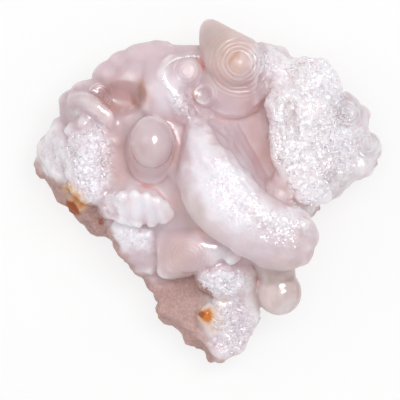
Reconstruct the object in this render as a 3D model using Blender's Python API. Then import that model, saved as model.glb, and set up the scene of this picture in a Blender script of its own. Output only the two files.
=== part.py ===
"""Pink chalcedony: one grown specimen of fused lobes, balls and banded shells on its broken underside.

It lies on the flat cut of its back, grown face up. X runs to the right of the grown face and Y to its top.
Every size is in millimetres until the finished skin is turned into metres.
"""

import random

import bmesh
import bpy
from mathutils import Matrix, Vector, noise
from mathutils.bvhtree import BVHTree

MM = 0.001
SKIN_STEP = 0.75
TRIANGLES = 9600
ROUGH_CUT = -0.6
LIMB_STEPS = 4

# Heights of the broken slab that everything grew on, and how far its edge draws in there.
SLAB_LEVELS = ((-3.0, 0.22), (3.0, 0.12), (9.0, 0.01), (14.0, 0.06))
ROOT_HEIGHT = 11.0
ROOT_TAPER = 0.14

# The slab's outline seen from above, from the left tip anticlockwise.
SLAB_OUTLINE = (
    (-43.2, 6.2), (-40.6, 1.0), (-36.0, -4.5), (-31.0, -9.3), (-25.5, -12.2), (-19.0, -18.8),
    (-15.8, -24.0), (-12.6, -28.6), (-13.2, -32.8), (-9.0, -34.2), (-4.0, -38.6), (0.5, -42.5),
    (3.4, -43.9), (6.0, -42.4), (9.2, -39.0), (13.6, -32.4), (11.2, -29.0), (10.6, -25.0),
    (12.5, -22.0), (19.5, -16.0), (25.0, -8.5), (29.5, -2.0), (34.0, -0.5), (40.0, 5.5),
    (42.3, 11.0), (39.5, 17.0), (33.5, 23.0), (29.5, 30.0), (22.0, 32.5), (15.0, 34.5),
    (5.0, 38.0), (-3.0, 36.0), (-15.0, 35.0), (-24.0, 32.5), (-31.0, 25.0), (-36.5, 19.0),
    (-41.5, 12.0),
)

# Masses: balls (x, y, z, radius) wrapped in one skin, with roots down to the slab.
MASSES = {
    "upper_blanket": (
        (-24.5, 27.5, 18.0, 4.5), (-20.5, 31.0, 21.0, 4.0), (-15.5, 33.0, 23.0, 4.3),
        (-8.0, 32.5, 24.0, 4.0), (-1.5, 33.5, 22.0, 3.5), (-3.0, 24.0, 24.0, 4.0), (-18.5, 28.5, 25.5, 3.5),
    ),
    "drip": (
        (-13.0, 31.5, 26.6, 3.2), (-13.2, 26.0, 28.6, 3.2), (-13.6, 21.4, 27.2, 3.2),
        (-6.6, 20.4, 27.0, 3.0), (-9.5, 26.0, 29.0, 3.2), (-6.4, 30.5, 26.0, 3.0),
    ),
    "upper_saddle": (
        (-4.0, 20.0, 23.0, 4.0), (-0.5, 25.0, 24.5, 4.0), (5.0, 24.5, 25.0, 5.0), (8.0, 19.0, 20.0, 4.0),
    ),
    "left_sugar": (
        (-30.0, 14.0, 22.0, 4.0), (-30.2, 9.0, 24.0, 4.2), (-30.6, 4.0, 24.0, 4.3), (-28.3, 0.2, 23.0, 3.8),
        (-34.0, 9.0, 20.5, 3.2),
    ),
    "left_grey_slab": (
        (-37.0, 15.8, 15.5, 3.0), (-40.4, 10.5, 13.0, 2.8), (-41.2, 6.2, 10.5, 2.5),
        (-35.6, 10.5, 19.0, 3.0), (-36.4, 4.6, 17.0, 3.0),
    ),
    "crevice_floor": (
        (13.5, 26.0, 21.0, 5.0), (9.0, 17.5, 20.0, 6.0), (14.0, 15.0, 19.5, 7.0), (14.5, 6.0, 20.0, 6.4),
        (18.6, -1.5, 21.5, 5.0),
    ),
    "channel_floor": (
        (-8.0, 17.5, 22.0, 3.0), (-8.5, 6.0, 21.5, 3.0), (-10.5, -6.5, 20.5, 3.0), (0.0, -10.0, 20.5, 3.0),
        (10.0, -15.5, 20.0, 3.0), (5.0, -17.0, 20.0, 3.0), (-13.5, 0.0, 21.5, 3.0), (-14.0, -8.0, 19.5, 2.6),
    ),
    "pit_floor": (
        (-27.5, 24.5, 19.5, 2.6), (-18.0, 26.0, 19.5, 2.6), (-17.0, 19.5, 19.5, 2.6),
        (-25.0, 18.5, 20.0, 2.6),
    ),
    "pink_bed": (
        (-25.5, 14.5, 22.0, 3.2), (-19.0, 16.5, 22.5, 3.2), (-18.5, 2.5, 23.0, 3.2), (-25.5, 2.5, 23.0, 3.2),
    ),
    "tongue": (
        (-24.0, -2.5, 22.0, 3.8), (-19.0, -1.8, 25.0, 4.0), (-14.5, -2.8, 26.0, 3.6),
        (-12.0, -4.6, 25.5, 2.8), (-18.5, -5.5, 23.5, 3.2),
    ),
    "low_slab": (
        (-22.0, -10.0, 18.0, 2.8), (-15.5, -10.5, 19.5, 2.8), (-19.6, -14.5, 15.5, 2.6),
        (-14.5, -17.5, 15.5, 2.8), (-15.6, -20.0, 12.5, 2.2),
    ),
    "fan": (
        (-7.5, -12.5, 22.0, 3.4), (-8.5, -17.5, 20.8, 3.2), (-2.5, -13.5, 24.5, 4.4),
        (-3.0, -17.0, 22.5, 3.2), (4.0, -13.5, 24.5, 3.6),
    ),
    "low_sugar": (
        (0.0, -20.0, 21.0, 2.8), (5.0, -20.5, 22.0, 3.2), (9.3, -21.0, 20.0, 2.8), (3.0, -23.5, 19.5, 2.6),
        (8.0, -24.5, 18.5, 2.6),
    ),
    "foot_block": (
        (-0.5, -31.0, 15.5, 1.6), (3.0, -28.0, 17.5, 1.8), (10.5, -28.0, 16.0, 1.6),
        (12.0, -32.3, 13.0, 1.4), (8.0, -38.5, 11.5, 1.4), (3.6, -42.2, 9.5, 1.4), (1.0, -39.0, 11.0, 1.4),
    ),
    "right_crown": (
        (24.5, 29.8, 30.0, 3.4), (28.0, 28.8, 28.0, 4.0), (30.4, 24.6, 26.6, 3.5), (24.0, 25.0, 31.6, 3.4),
    ),
    "right_shoulder": (
        (13.5, 34.6, 24.0, 3.2), (17.0, 32.8, 26.0, 3.5), (20.8, 29.8, 28.0, 3.6), (13.5, 30.0, 27.0, 3.5),
        (17.0, 28.5, 27.0, 3.0),
    ),
    "right_plateau": (
        (20.0, 24.0, 30.5, 3.4), (20.4, 16.5, 32.5, 3.0), (20.0, 9.5, 32.5, 3.2), (22.5, 3.0, 30.5, 3.4),
        (27.0, 20.5, 31.0, 3.8), (29.5, 13.5, 28.6, 4.0), (28.5, 6.5, 27.6, 4.0),
    ),
    "right_flank": (
        (36.4, 6.8, 17.5, 3.6), (39.8, 11.0, 14.5, 3.2), (33.6, 15.5, 23.0, 3.8), (37.0, 16.0, 19.0, 3.6),
        (33.4, 3.4, 17.0, 3.0), (29.5, 1.8, 22.0, 3.4), (34.0, 9.0, 22.5, 3.6),
    ),
    "snail_root": (
        (2.6, 36.2, 17.0, 3.4), (6.0, 34.0, 21.0, 4.6), (11.0, 30.0, 22.0, 4.2), (3.5, 29.0, 22.0, 4.0),
    ),
    "hook_body": (
        (-33.9, 23.3, 19.5, 3.2), (-30.9, 25.2, 20.0, 2.8), (-28.2, 22.8, 22.0, 2.8),
        (-25.9, 19.8, 22.5, 2.6), (-31.9, 20.6, 22.0, 3.2), (-34.2, 19.6, 17.5, 3.0),
        (-29.4, 18.6, 22.0, 3.0), (-25.0, 16.6, 21.5, 2.4),
    ),
    "arm_root": (
        (-1.0, 10.0, 24.0, 5.0), (3.0, 0.0, 25.0, 6.0), (12.0, -7.5, 24.0, 5.5), (17.5, -10.0, 21.0, 5.0),
    ),
    "ball_nest": (
        (-8.6, 19.0, 26.0, 2.4), (-6.4, 14.5, 26.0, 2.4), (-6.6, 9.5, 24.0, 2.4), (-14.0, 20.4, 25.6, 2.2),
        (-19.5, 18.0, 24.4, 2.2),
    ),
}

# Single lobes: centre, then half sizes along X, Y and Z.
LOBES = {
    "ball": ((-13.9, 12.4, 32.8), (5.2, 6.3, 6.3)),
    "ball_step": ((-14.0, 11.4, 29.4), (5.8, 7.3, 5.0)),
    "ball_collar": ((-14.1, 10.2, 26.6), (6.3, 8.3, 5.2)),
    "ball_stalk": ((-14.2, 9.0, 20.0), (6.8, 8.0, 8.0)),
    "snail_dome": ((7.2, 32.4, 30.0), (7.0, 7.0, 8.2)),
    "snail_eye": ((7.8, 32.1, 37.4), (1.8, 1.8, 1.6)),
    "snail_apron": ((6.4, 26.2, 25.6), (8.4, 8.4, 6.8)),
    "inner_dome": ((-5.1, 30.2, 27.6), (3.9, 3.9, 3.9)),
    "second_dome": ((-0.9, 24.5, 28.2), (3.0, 3.0, 2.7)),
    "hook_bead": ((-30.9, 17.2, 24.2), (2.0, 1.9, 2.0)),
    "hook_foot": ((-33.4, 15.8, 21.8), (2.0, 2.0, 2.0)),
    "bed_knob": ((-23.4, 13.0, 24.0), (2.2, 2.2, 2.0)),
    "bed_swell": ((-22.0, 7.5, 22.5), (5.0, 6.0, 4.4)),
    "blanket_slope": ((-22.5, 29.0, 19.5), (6.5, 4.6, 6.0)),
    "blanket_swell": ((-13.0, 33.6, 22.0), (9.0, 4.5, 6.5)),
    "blanket_edge": ((-20.6, 31.8, 20.5), (4.8, 4.0, 5.4)),
    "fan_knob": ((5.9, -16.0, 25.4), (2.3, 2.2, 2.2)),
    "arm_knob": ((23.8, -8.2, 35.6), (2.0, 2.0, 2.0)),
    "small_ball": ((18.1, -25.4, 17.4), (5.75, 5.75, 5.75)),
    "shell_blob": ((34.8, 20.0, 23.0), (3.5, 3.9, 4.4)),
    "shell_core": ((35.0, 20.6, 26.4), (1.8, 1.8, 1.8)),
    "shell_bed": ((32.8, 17.6, 22.4), (3.6, 4.2, 5.4)),
    "shell_tail_bead": ((35.6, 17.0, 24.2), (1.9, 2.0, 2.2)),
    "right_lobe": ((37.8, 17.4, 17.5), (3.3, 4.8, 5.4)),
    "tip_lobe": ((40.2, 11.4, 15.8), (3.5, 4.4, 5.2)),
    "tip_swell": ((37.6, 12.4, 18.6), (4.0, 4.2, 4.8)),
    "lower_right": ((36.4, 7.4, 18.0), (5.8, 4.6, 5.8)),
    "crown_swell": ((28.2, 27.0, 29.5), (4.4, 6.0, 4.4)),
    "bright_lobe": ((17.8, 19.8, 33.4), (2.1, 4.0, 2.8)),
    "plateau_swell": ((22.0, 11.0, 32.2), (4.4, 5.6, 3.8)),
    "field_swell": ((28.0, 14.0, 29.5), (4.2, 5.0, 3.8)),
    "low_lobe": ((26.0, 0.6, 30.0), (4.6, 4.6, 5.0)),
    "crevice_end": ((22.4, -2.8, 24.5), (4.4, 4.0, 5.4)),
    "pink_lobe": ((18.4, 2.8, 28.6), (2.2, 3.2, 4.0)),
    "right_side_low": ((38.2, 8.6, 11.0), (4.6, 4.6, 4.4)),
    "right_side_front": ((30.2, 1.4, 13.5), (4.4, 3.6, 5.0)),
    "right_side_back": ((36.0, 17.0, 12.5), (4.6, 4.4, 4.8)),
    "crown_side": ((30.0, 27.0, 17.0), (3.6, 4.0, 5.0)),
    "crown_side_low": ((25.0, 29.0, 12.0), (4.6, 3.4, 4.0)),
    "back_side_right": ((14.0, 32.4, 14.5), (5.0, 3.6, 5.0)),
    "back_side_mid": ((-8.0, 32.2, 15.5), (5.2, 3.8, 5.0)),
    "back_side_left": ((-20.5, 29.8, 14.0), (5.0, 4.0, 4.6)),
    "left_side_back": ((-30.5, 23.5, 12.5), (4.0, 3.8, 4.0)),
}

# Limbs: a lobe drawn along a path of (x, y, z, radius).
LIMBS = {
    "great_arm": (
        (-2.4, 16.0, 29.0, 3.2), (-1.4, 11.6, 30.6, 4.8), (-0.2, 4.2, 31.4, 7.4), (3.6, -2.3, 32.0, 8.6),
        (11.2, -8.0, 31.2, 8.2), (18.6, -11.4, 29.4, 8.6),
    ),
    "arm_crest": (
        (-2.6, 14.0, 31.6, 3.0), (1.6, 7.5, 34.4, 5.0), (6.8, 0.8, 35.2, 5.3), (13.6, -5.8, 34.4, 5.2),
        (21.0, -8.8, 32.0, 5.4),
    ),
    "arm_flank": (
        (0.6, 17.4, 24.6, 3.2), (4.4, 11.4, 25.4, 5.0), (6.8, 5.0, 26.4, 5.2), (10.6, -1.2, 27.2, 4.8),
        (16.4, -5.4, 27.6, 3.8),
    ),
    "arm_seam": (
        (-1.0, 16.6, 28.6, 1.8), (3.0, 11.4, 31.2, 2.6), (5.8, 5.6, 32.4, 2.8), (9.8, -0.8, 33.0, 2.8),
    ),
    "crest": (
        (-2.5, 33.9, 25.2, 1.7), (-7.0, 33.4, 27.4, 1.7), (-9.9, 32.0, 29.2, 1.8), (-11.2, 29.3, 30.4, 1.9),
        (-10.0, 26.2, 30.4, 2.2), (-7.6, 23.0, 29.6, 2.6), (-5.8, 19.6, 28.6, 2.8),
    ),
    "hook_outer": (
        (-35.0, 20.0, 18.5, 2.4), (-34.0, 23.4, 20.0, 2.5), (-31.9, 25.4, 21.5, 2.4),
        (-28.8, 26.3, 22.0, 2.2), (-26.0, 26.0, 22.0, 1.8),
    ),
    "hook_inner": (
        (-33.2, 23.0, 23.0, 2.2), (-30.4, 22.9, 24.6, 2.4), (-27.6, 21.0, 25.2, 2.3),
        (-25.0, 18.6, 24.8, 2.2), (-24.2, 15.6, 23.6, 1.9),
    ),
    "bed_fold_left": (
        (-21.4, 19.6, 23.8, 1.5), (-21.9, 17.0, 24.4, 1.4), (-22.0, 14.4, 24.4, 1.4),
    ),
    "bed_fold_right": (
        (-18.6, 20.4, 24.4, 1.4), (-19.4, 17.4, 25.0, 1.3), (-19.8, 14.0, 25.0, 1.3),
    ),
    "snail_horn": (
        (0.9, 40.6, 23.0, 3.0), (2.7, 37.3, 27.0, 4.8), (5.5, 33.9, 30.6, 6.5),
    ),
    "snail_rib": (
        (11.6, 28.4, 33.4, 1.3), (11.2, 25.6, 31.8, 1.3), (11.4, 23.0, 29.8, 1.9),
    ),
    "right_lip": (
        (17.6, 28.0, 29.0, 1.8), (17.4, 24.4, 31.0, 1.8), (16.6, 20.5, 32.4, 1.6), (17.2, 16.5, 33.0, 1.7),
        (17.0, 12.6, 33.6, 1.6), (17.2, 8.8, 33.6, 1.6), (19.0, 5.6, 32.8, 1.6), (19.6, 2.4, 31.0, 1.6),
        (20.4, -0.6, 29.5, 1.8),
    ),
    "shell_rim": (
        (32.2, 19.4, 25.4, 0.9), (32.4, 22.2, 25.6, 1.0), (34.2, 24.0, 25.0, 1.0), (36.8, 23.0, 23.6, 1.0),
        (38.2, 20.6, 22.0, 1.0),
    ),
    "shell_tail": (
        (36.4, 18.6, 23.4, 2.0), (34.4, 15.8, 24.2, 1.6), (32.4, 14.2, 26.4, 1.2), (30.6, 13.4, 28.6, 0.8),
    ),
    "tip_fold": (
        (35.6, 10.4, 22.4, 1.0), (38.0, 10.8, 21.2, 1.1), (40.4, 9.4, 19.0, 1.1), (42.0, 7.6, 16.4, 1.0),
    ),
    "tip_rim": (
        (37.6, 11.6, 23.0, 0.7), (38.8, 14.2, 21.6, 0.8), (41.2, 14.4, 18.6, 0.8), (42.7, 12.0, 16.4, 0.8),
    ),
    "crown_ridge": (
        (25.2, 31.0, 29.6, 2.8), (25.6, 27.5, 31.6, 3.2), (26.2, 23.6, 32.0, 3.0), (26.6, 19.6, 31.6, 2.6),
    ),
    "fan_rim": (
        (-7.0, -9.0, 22.0, 2.0), (-9.8, -10.6, 21.5, 2.0), (-11.0, -13.2, 20.8, 2.1),
        (-10.9, -16.2, 20.2, 2.2), (-11.0, -18.8, 19.4, 2.2), (-9.0, -20.4, 19.0, 2.0),
        (-6.4, -19.8, 19.6, 2.0), (-3.6, -18.8, 20.0, 2.0),
    ),
    "low_rim": (
        (-1.2, -21.6, 19.5, 1.8), (1.6, -24.2, 19.0, 1.8), (5.2, -25.6, 18.5, 1.8), (9.0, -25.6, 18.0, 1.8),
    ),
    "low_ridge": (
        (9.6, -22.0, 19.2, 2.4), (10.6, -26.5, 17.6, 2.3), (11.4, -31.0, 14.6, 2.0),
    ),
    "block_ledge": (
        (-1.6, -31.0, 14.5, 1.3), (-0.4, -36.5, 12.5, 1.2), (1.2, -41.0, 10.5, 1.2),
    ),
    "ball_neck": (
        (16.5, -16.5, 21.0, 5.0), (17.8, -22.0, 18.0, 4.6),
    ),
    "ball_bridge": (
        (9.0, -19.0, 13.0, 4.0), (15.8, -23.0, 13.5, 3.2),
    ),
}

# The tongue's ribs: where each starts and ends on its back.
TONGUE_RIBS = (
    ((-24.6, -1.5, 24.0), (-25.0, -5.0, 22.6)), ((-21.4, -1.0, 27.3), (-21.4, -6.4, 24.4)),
    ((-18.2, -0.6, 28.5), (-17.6, -7.6, 25.2)), ((-15.2, -1.2, 28.8), (-13.9, -7.6, 25.9)),
    ((-12.6, -2.2, 28.2), (-11.0, -6.8, 26.2)), ((-10.6, -3.2, 27.4), (-9.4, -5.4, 26.4)),
)
RIB_RADIUS = 1.5

# Hollows pressed into the grown face: centre, half sizes along X and Y, depth.
HOLLOWS = {
    "pit": ((-21.0, 23.8), (6.0, 4.4), 1.6),
    "second_cup": ((-0.9, 24.5), (2.1, 2.1), 1.0),
    "shell_cup": ((35.2, 21.0), (1.6, 1.8), 1.0),
    "plateau_groove": ((21.0, 18.0), (1.9, 5.2), 2.6),
    "scallop": ((-8.5, -25.5), (3.6, 4.2), 2.0),
}

HOLLOW_EASING = 6

# Sugary skins: the mass they cover, how many knobs, their smallest and largest radius.
SUGAR = {
    "left_sugar": (34, 0.6, 1.4),
    "left_grey_slab": (16, 0.5, 1.1),
    "right_plateau": (80, 0.7, 1.8),
    "right_crown": (34, 0.6, 1.5),
    "right_shoulder": (14, 0.5, 1.1),
    "right_flank": (24, 0.7, 1.5),
    "low_sugar": (22, 0.6, 1.2),
    "foot_block": (18, 0.5, 1.0),
    "low_slab": (10, 0.5, 1.0),
}
SUGAR_SEED = 11
KNOB_BURIED = 0.5

# Broken faces: how rough the slab's sides are, and the size of the roughness.
BREAK_DEPTH = 1.4
BREAK_SCALE = 5.0
BREAK_TOP = 17.0
BREAK_FADE = 6.0

# Uneven growth over everything but the smooth lobes, which are given as centre and reach.
GROWTH_DEPTH = 0.55
GROWTH_STEEP = 1.6
GROWTH_SCALE = 4.5
SMOOTH_LOBES = {
    "ball": ((-14.0, 11.0), 14.0),
    "snail": ((5.0, 34.5), 15.0),
    "small_ball": ((18.1, -25.4), 12.0),
    "drip": ((-10.5, 26.0), 9.0),
    "fan": ((-6.0, -15.5), 9.0),
    "blanket": ((-19.0, 29.5), 13.0),
    "tongue": ((-15.5, -3.5), 8.0),
    "arm": ((3.0, -3.0), 15.0),
    "arm_end": ((15.0, -9.0), 13.0),
    "crevice": ((13.0, 12.0), 11.0),
    "crevice_low": ((16.5, 2.0), 8.0),
    "bed": ((-22.0, 8.0), 9.0),
    "hook": ((-30.5, 22.0), 8.0),
    "shell": ((35.0, 20.0), 6.5),
}

LOOK = {"colour": (0.86, 0.70, 0.68, 1.0), "roughness": 0.38}


def joined(parts):
    """One bmesh holding the given ones side by side."""
    whole = bmesh.new()
    scratch = bpy.data.meshes.new("scratch")
    for part in parts:
        part.to_mesh(scratch)
        part.free()
        whole.from_mesh(scratch)
    bpy.data.meshes.remove(scratch)
    return whole


def lobe(centre, radii):
    """An ellipsoid."""
    made = bmesh.new()
    place = Matrix.Translation(centre) @ Matrix.Diagonal((*radii, 1.0))
    bmesh.ops.create_icosphere(made, subdivisions=3, radius=1.0, matrix=place)
    return made


def wrapped(balls):
    """The skin drawn tight round balls given as (x, y, z, radius)."""
    made = bmesh.new()
    for x, y, z, radius in balls:
        bmesh.ops.create_icosphere(made, subdivisions=2, radius=radius, matrix=Matrix.Translation((x, y, z)))
    hull = bmesh.ops.convex_hull(made, input=made.verts)
    bmesh.ops.delete(made, geom=hull["geom_interior"], context="VERTS")
    loose = [vert for vert in made.verts if not vert.link_faces]
    bmesh.ops.delete(made, geom=loose, context="VERTS")
    return made


def mass(balls):
    """A mass and its roots, which taper towards its middle."""
    middle = sum((Vector(ball[:2]) for ball in balls), Vector((0.0, 0.0))) / len(balls)
    roots = []
    for x, y, _, radius in balls:
        drawn = Vector((x, y)).lerp(middle, ROOT_TAPER)
        roots.append((drawn.x, drawn.y, ROOT_HEIGHT, radius))
    return wrapped(list(balls) + roots)


def eased(path):
    """The path with points added between its own, on a curve that runs through them."""
    points = [Vector(point) for point in path]
    ends = [points[0] * 2 - points[1], *points, points[-1] * 2 - points[-2]]
    curve = []
    for before, start, end, after in zip(ends, ends[1:], ends[2:], ends[3:]):
        for step in range(LIMB_STEPS):
            t = step / LIMB_STEPS
            bend = (end - before) * t + (before * 2 - start * 5 + end * 4 - after) * t**2
            curve.append(start + (bend + (start * 3 - before - end * 3 + after) * t**3) / 2)
    return curve + [points[-1]]


def limb(path):
    """A lobe drawn along a path, each span wrapped round its two ends."""
    curve = eased(path) if len(path) > 2 else path
    return joined([wrapped(span) for span in zip(curve, curve[1:])])


def slab():
    """The broken slab: its outline at each level, drawn in as the level says."""
    made = bmesh.new()
    rings = []
    for height, inset in SLAB_LEVELS:
        rings.append([made.verts.new((x * (1 - inset), y * (1 - inset), height)) for x, y in SLAB_OUTLINE])
    count = len(SLAB_OUTLINE)
    for lower, upper in zip(rings, rings[1:]):
        for i in range(count):
            j = (i + 1) % count
            made.faces.new((lower[i], lower[j], upper[j], upper[i]))
    made.faces.new(reversed(rings[0]))
    made.faces.new(rings[-1])
    bmesh.ops.triangulate(made, faces=made.faces)
    return made


def sugar_knobs(balls, count, smallest, largest, rng):
    """Small knobs half buried in the upper skin of a mass."""
    skin = mass(balls)
    tree = BVHTree.FromBMesh(skin)
    skin.free()
    xs, ys = [ball[0] for ball in balls], [ball[1] for ball in balls]
    reach = max(ball[3] for ball in balls)
    knobs = []
    while len(knobs) < count:
        x = rng.uniform(min(xs) - reach, max(xs) + reach)
        y = rng.uniform(min(ys) - reach, max(ys) + reach)
        hit, normal, _, _ = tree.ray_cast(Vector((x, y, 60.0)), Vector((0.0, 0.0, -1.0)))
        if hit is None or normal.z < 0.25:
            continue
        radius = rng.uniform(smallest, largest)
        knobs.append(lobe(hit - normal * radius * KNOB_BURIED, (radius,) * 3))
    return knobs


def all_forms():
    """Every form of the specimen, still overlapping."""
    rng = random.Random(SUGAR_SEED)
    forms = [slab()]
    forms += [mass(balls) for balls in MASSES.values()]
    forms += [lobe(centre, radii) for centre, radii in LOBES.values()]
    forms += [limb(path) for path in LIMBS.values()]
    forms += [wrapped([(*end, RIB_RADIUS) for end in rib]) for rib in TONGUE_RIBS]
    for name, (count, smallest, largest) in SUGAR.items():
        forms += sugar_knobs(MASSES[name], count, smallest, largest, rng)
    return joined(forms)


def evaluated_copy(body):
    """The body's mesh with its modifiers worked in."""
    graph = bpy.context.evaluated_depsgraph_get()
    return bpy.data.meshes.new_from_object(body.evaluated_get(graph))


def with_modifiers(mesh, name, *settings):
    """The mesh after the given modifiers, each a type with its values."""
    body = bpy.data.objects.new(name, mesh)
    bpy.context.scene.collection.objects.link(body)
    for kind, values in settings:
        modifier = body.modifiers.new(kind.lower(), kind)
        for key, value in values.items():
            setattr(modifier, key, value)
    made = evaluated_copy(body)
    bpy.data.objects.remove(body)
    return made


def keep_outer_skin(skin):
    """Leaves only the largest closed skin, so no sealed hollow stays inside."""
    unseen = set(skin.verts)
    islands = []
    while unseen:
        seed = unseen.pop()
        island, edge = [seed], [seed]
        while edge:
            vert = edge.pop()
            for link in vert.link_edges:
                other = link.other_vert(vert)
                if other in unseen:
                    unseen.remove(other)
                    island.append(other)
                    edge.append(other)
        islands.append(island)
    islands.sort(key=len)
    inner = [vert for island in islands[:-1] for vert in island]
    bmesh.ops.delete(skin, geom=inner, context="VERTS")


def press_hollows(skin):
    """Presses each hollow down into the upward faces round its centre and eases its wall."""
    for (x, y), (half_x, half_y), depth in HOLLOWS.values():
        pressed = []
        for vert in skin.verts:
            away = ((vert.co.x - x) / half_x) ** 2 + ((vert.co.y - y) / half_y) ** 2
            if away < 1.0 and vert.co.z > BREAK_TOP and vert.normal.z > 0.1:
                vert.co.z -= depth * (1.0 - away**2)
                pressed.append(vert)
        for _ in range(HOLLOW_EASING):
            bmesh.ops.smooth_vert(
                skin, verts=pressed, factor=0.5, use_axis_x=True, use_axis_y=True, use_axis_z=True
            )


def bare_share(point):
    """How much uneven growth shows at a point: none in the middle of a smooth lobe."""
    share = 1.0
    for (x, y), reach in SMOOTH_LOBES.values():
        away = ((point.x - x) ** 2 + (point.y - y) ** 2) ** 0.5 / reach
        share = min(share, max(0.0, 2.0 * away - 1.0))
    return share


def roughen(skin):
    """Roughens the slab's broken sides and makes the grown face a little uneven."""
    skin.normal_update()
    (ball_x, ball_y), reach = SMOOTH_LOBES["small_ball"]
    moves = []
    for vert in skin.verts:
        broken = min(1.0, max(0.0, (BREAK_TOP - vert.co.z) / BREAK_FADE))
        away = ((vert.co.x - ball_x) ** 2 + (vert.co.y - ball_y) ** 2) ** 0.5 / reach
        broken *= min(1.0, max(0.0, 2.0 * away - 1.0))
        rough = noise.fractal(vert.co / BREAK_SCALE, 1.0, 2.0, 3) * BREAK_DEPTH * broken
        depth = GROWTH_DEPTH * (1.0 + GROWTH_STEEP * (1.0 - abs(vert.normal.z))) * bare_share(vert.co)
        uneven = noise.fractal(vert.co / GROWTH_SCALE, 1.0, 2.0, 2) * depth
        moves.append(vert.normal * (rough + uneven * (1.0 - broken)))
    for vert, move in zip(skin.verts, moves):
        vert.co += move


def cut_flat(skin, height):
    """Cuts the back off flat at a height and closes the cut."""
    everything = skin.verts[:] + skin.edges[:] + skin.faces[:]
    cut = bmesh.ops.bisect_plane(
        skin, geom=everything, plane_co=(0.0, 0.0, height), plane_no=(0.0, 0.0, 1.0), clear_inner=True
    )
    rim = [item for item in cut["geom_cut"] if isinstance(item, bmesh.types.BMEdge)]
    bmesh.ops.edgeloop_fill(skin, edges=rim)
    bmesh.ops.triangulate(skin, faces=[face for face in skin.faces if len(face.verts) > 3])


def grown_skin():
    """The specimen's closed skin in millimetres."""
    raw = bpy.data.meshes.new("forms")
    forms = all_forms()
    forms.to_mesh(raw)
    forms.free()
    fused = with_modifiers(
        raw, "fusing",
        ("REMESH", {"mode": "VOXEL", "voxel_size": SKIN_STEP}), ("SMOOTH", {"factor": 0.5, "iterations": 3}),
    )
    skin = bmesh.new()
    skin.from_mesh(fused)
    keep_outer_skin(skin)
    skin.normal_update()
    press_hollows(skin)
    roughen(skin)
    cut_flat(skin, ROUGH_CUT)
    bmesh.ops.triangulate(skin, faces=skin.faces)
    share = TRIANGLES / len(skin.faces)
    skin.to_mesh(fused)
    skin.free()
    thinned = with_modifiers(fused, "thinning", ("DECIMATE", {"ratio": share}))
    skin = bmesh.new()
    skin.from_mesh(thinned)
    cut_flat(skin, 0.0)
    return skin


def chalcedony_look():
    """Milky pink stone."""
    look = bpy.data.materials.new("pink_chalcedony")
    look.use_nodes = True
    shader = look.node_tree.nodes["Principled BSDF"]
    shader.inputs["Base Color"].default_value = LOOK["colour"]
    shader.inputs["Roughness"].default_value = LOOK["roughness"]
    shader.inputs["Metallic"].default_value = 0.0
    look.diffuse_color = LOOK["colour"]
    return look


def main():
    for obj in list(bpy.data.objects):
        bpy.data.objects.remove(obj)
    skin = grown_skin()
    bmesh.ops.transform(skin, matrix=Matrix.Scale(MM, 4), verts=skin.verts)
    mesh = bpy.data.meshes.new("pink_chalcedony")
    skin.to_mesh(mesh)
    skin.free()
    mesh.shade_smooth()
    mesh.materials.append(chalcedony_look())
    stone = bpy.data.objects.new("pink_chalcedony", mesh)
    bpy.context.scene.collection.objects.link(stone)


main()
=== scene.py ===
# Pink chalcedony: the finished looks of one grown stone, lying on its cut back with its grown face up.
# Forms are in millimetres, as in the solid, and the finished skin is turned into metres.
import math
import random

import bmesh
import bpy
import numpy as np
from mathutils import Matrix, Vector, noise
from mathutils.bvhtree import BVHTree


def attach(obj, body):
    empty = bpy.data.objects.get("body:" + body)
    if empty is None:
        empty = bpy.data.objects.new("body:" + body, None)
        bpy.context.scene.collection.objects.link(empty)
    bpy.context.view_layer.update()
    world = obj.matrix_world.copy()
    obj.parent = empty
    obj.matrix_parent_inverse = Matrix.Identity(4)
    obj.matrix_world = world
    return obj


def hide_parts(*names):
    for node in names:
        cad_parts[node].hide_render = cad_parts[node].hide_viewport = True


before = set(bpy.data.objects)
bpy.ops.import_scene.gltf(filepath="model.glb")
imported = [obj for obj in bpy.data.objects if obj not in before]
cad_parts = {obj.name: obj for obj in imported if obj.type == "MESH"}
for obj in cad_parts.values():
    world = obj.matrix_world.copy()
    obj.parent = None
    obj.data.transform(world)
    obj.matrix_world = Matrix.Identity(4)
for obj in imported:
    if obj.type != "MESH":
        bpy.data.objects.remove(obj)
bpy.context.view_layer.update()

mm = 0.001
skyHeight = 60  # above every form

# What everything grew on: the broken slab's levels as (height, how far its edge draws in), and its outline.
slabLevels = ((-3, 0.22), (3, 0.12), (9, 0.01), (14, 0.06))
slabOutline = (
    (-43.2, 6.2), (-40.6, 1), (-36, -4.5), (-31, -9.3), (-25.5, -12.2), (-19, -18.8), (-15.8, -24),
    (-12.6, -28.6), (-13.2, -32.8), (-9, -34.2), (-4, -38.6), (0.5, -42.5), (3.4, -43.9), (6, -42.4),
    (9.2, -39), (13.6, -32.4), (11.2, -29), (10.6, -25), (12.5, -22), (19.5, -16), (25, -8.5), (29.5, -2),
    (34, -0.5), (40, 5.5), (42.3, 11), (39.5, 17), (33.5, 23), (29.5, 30), (22, 32.5), (15, 34.5), (5, 38),
    (-3, 36), (-15, 35), (-24, 32.5), (-31, 25), (-36.5, 19), (-41.5, 12),
)

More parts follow.
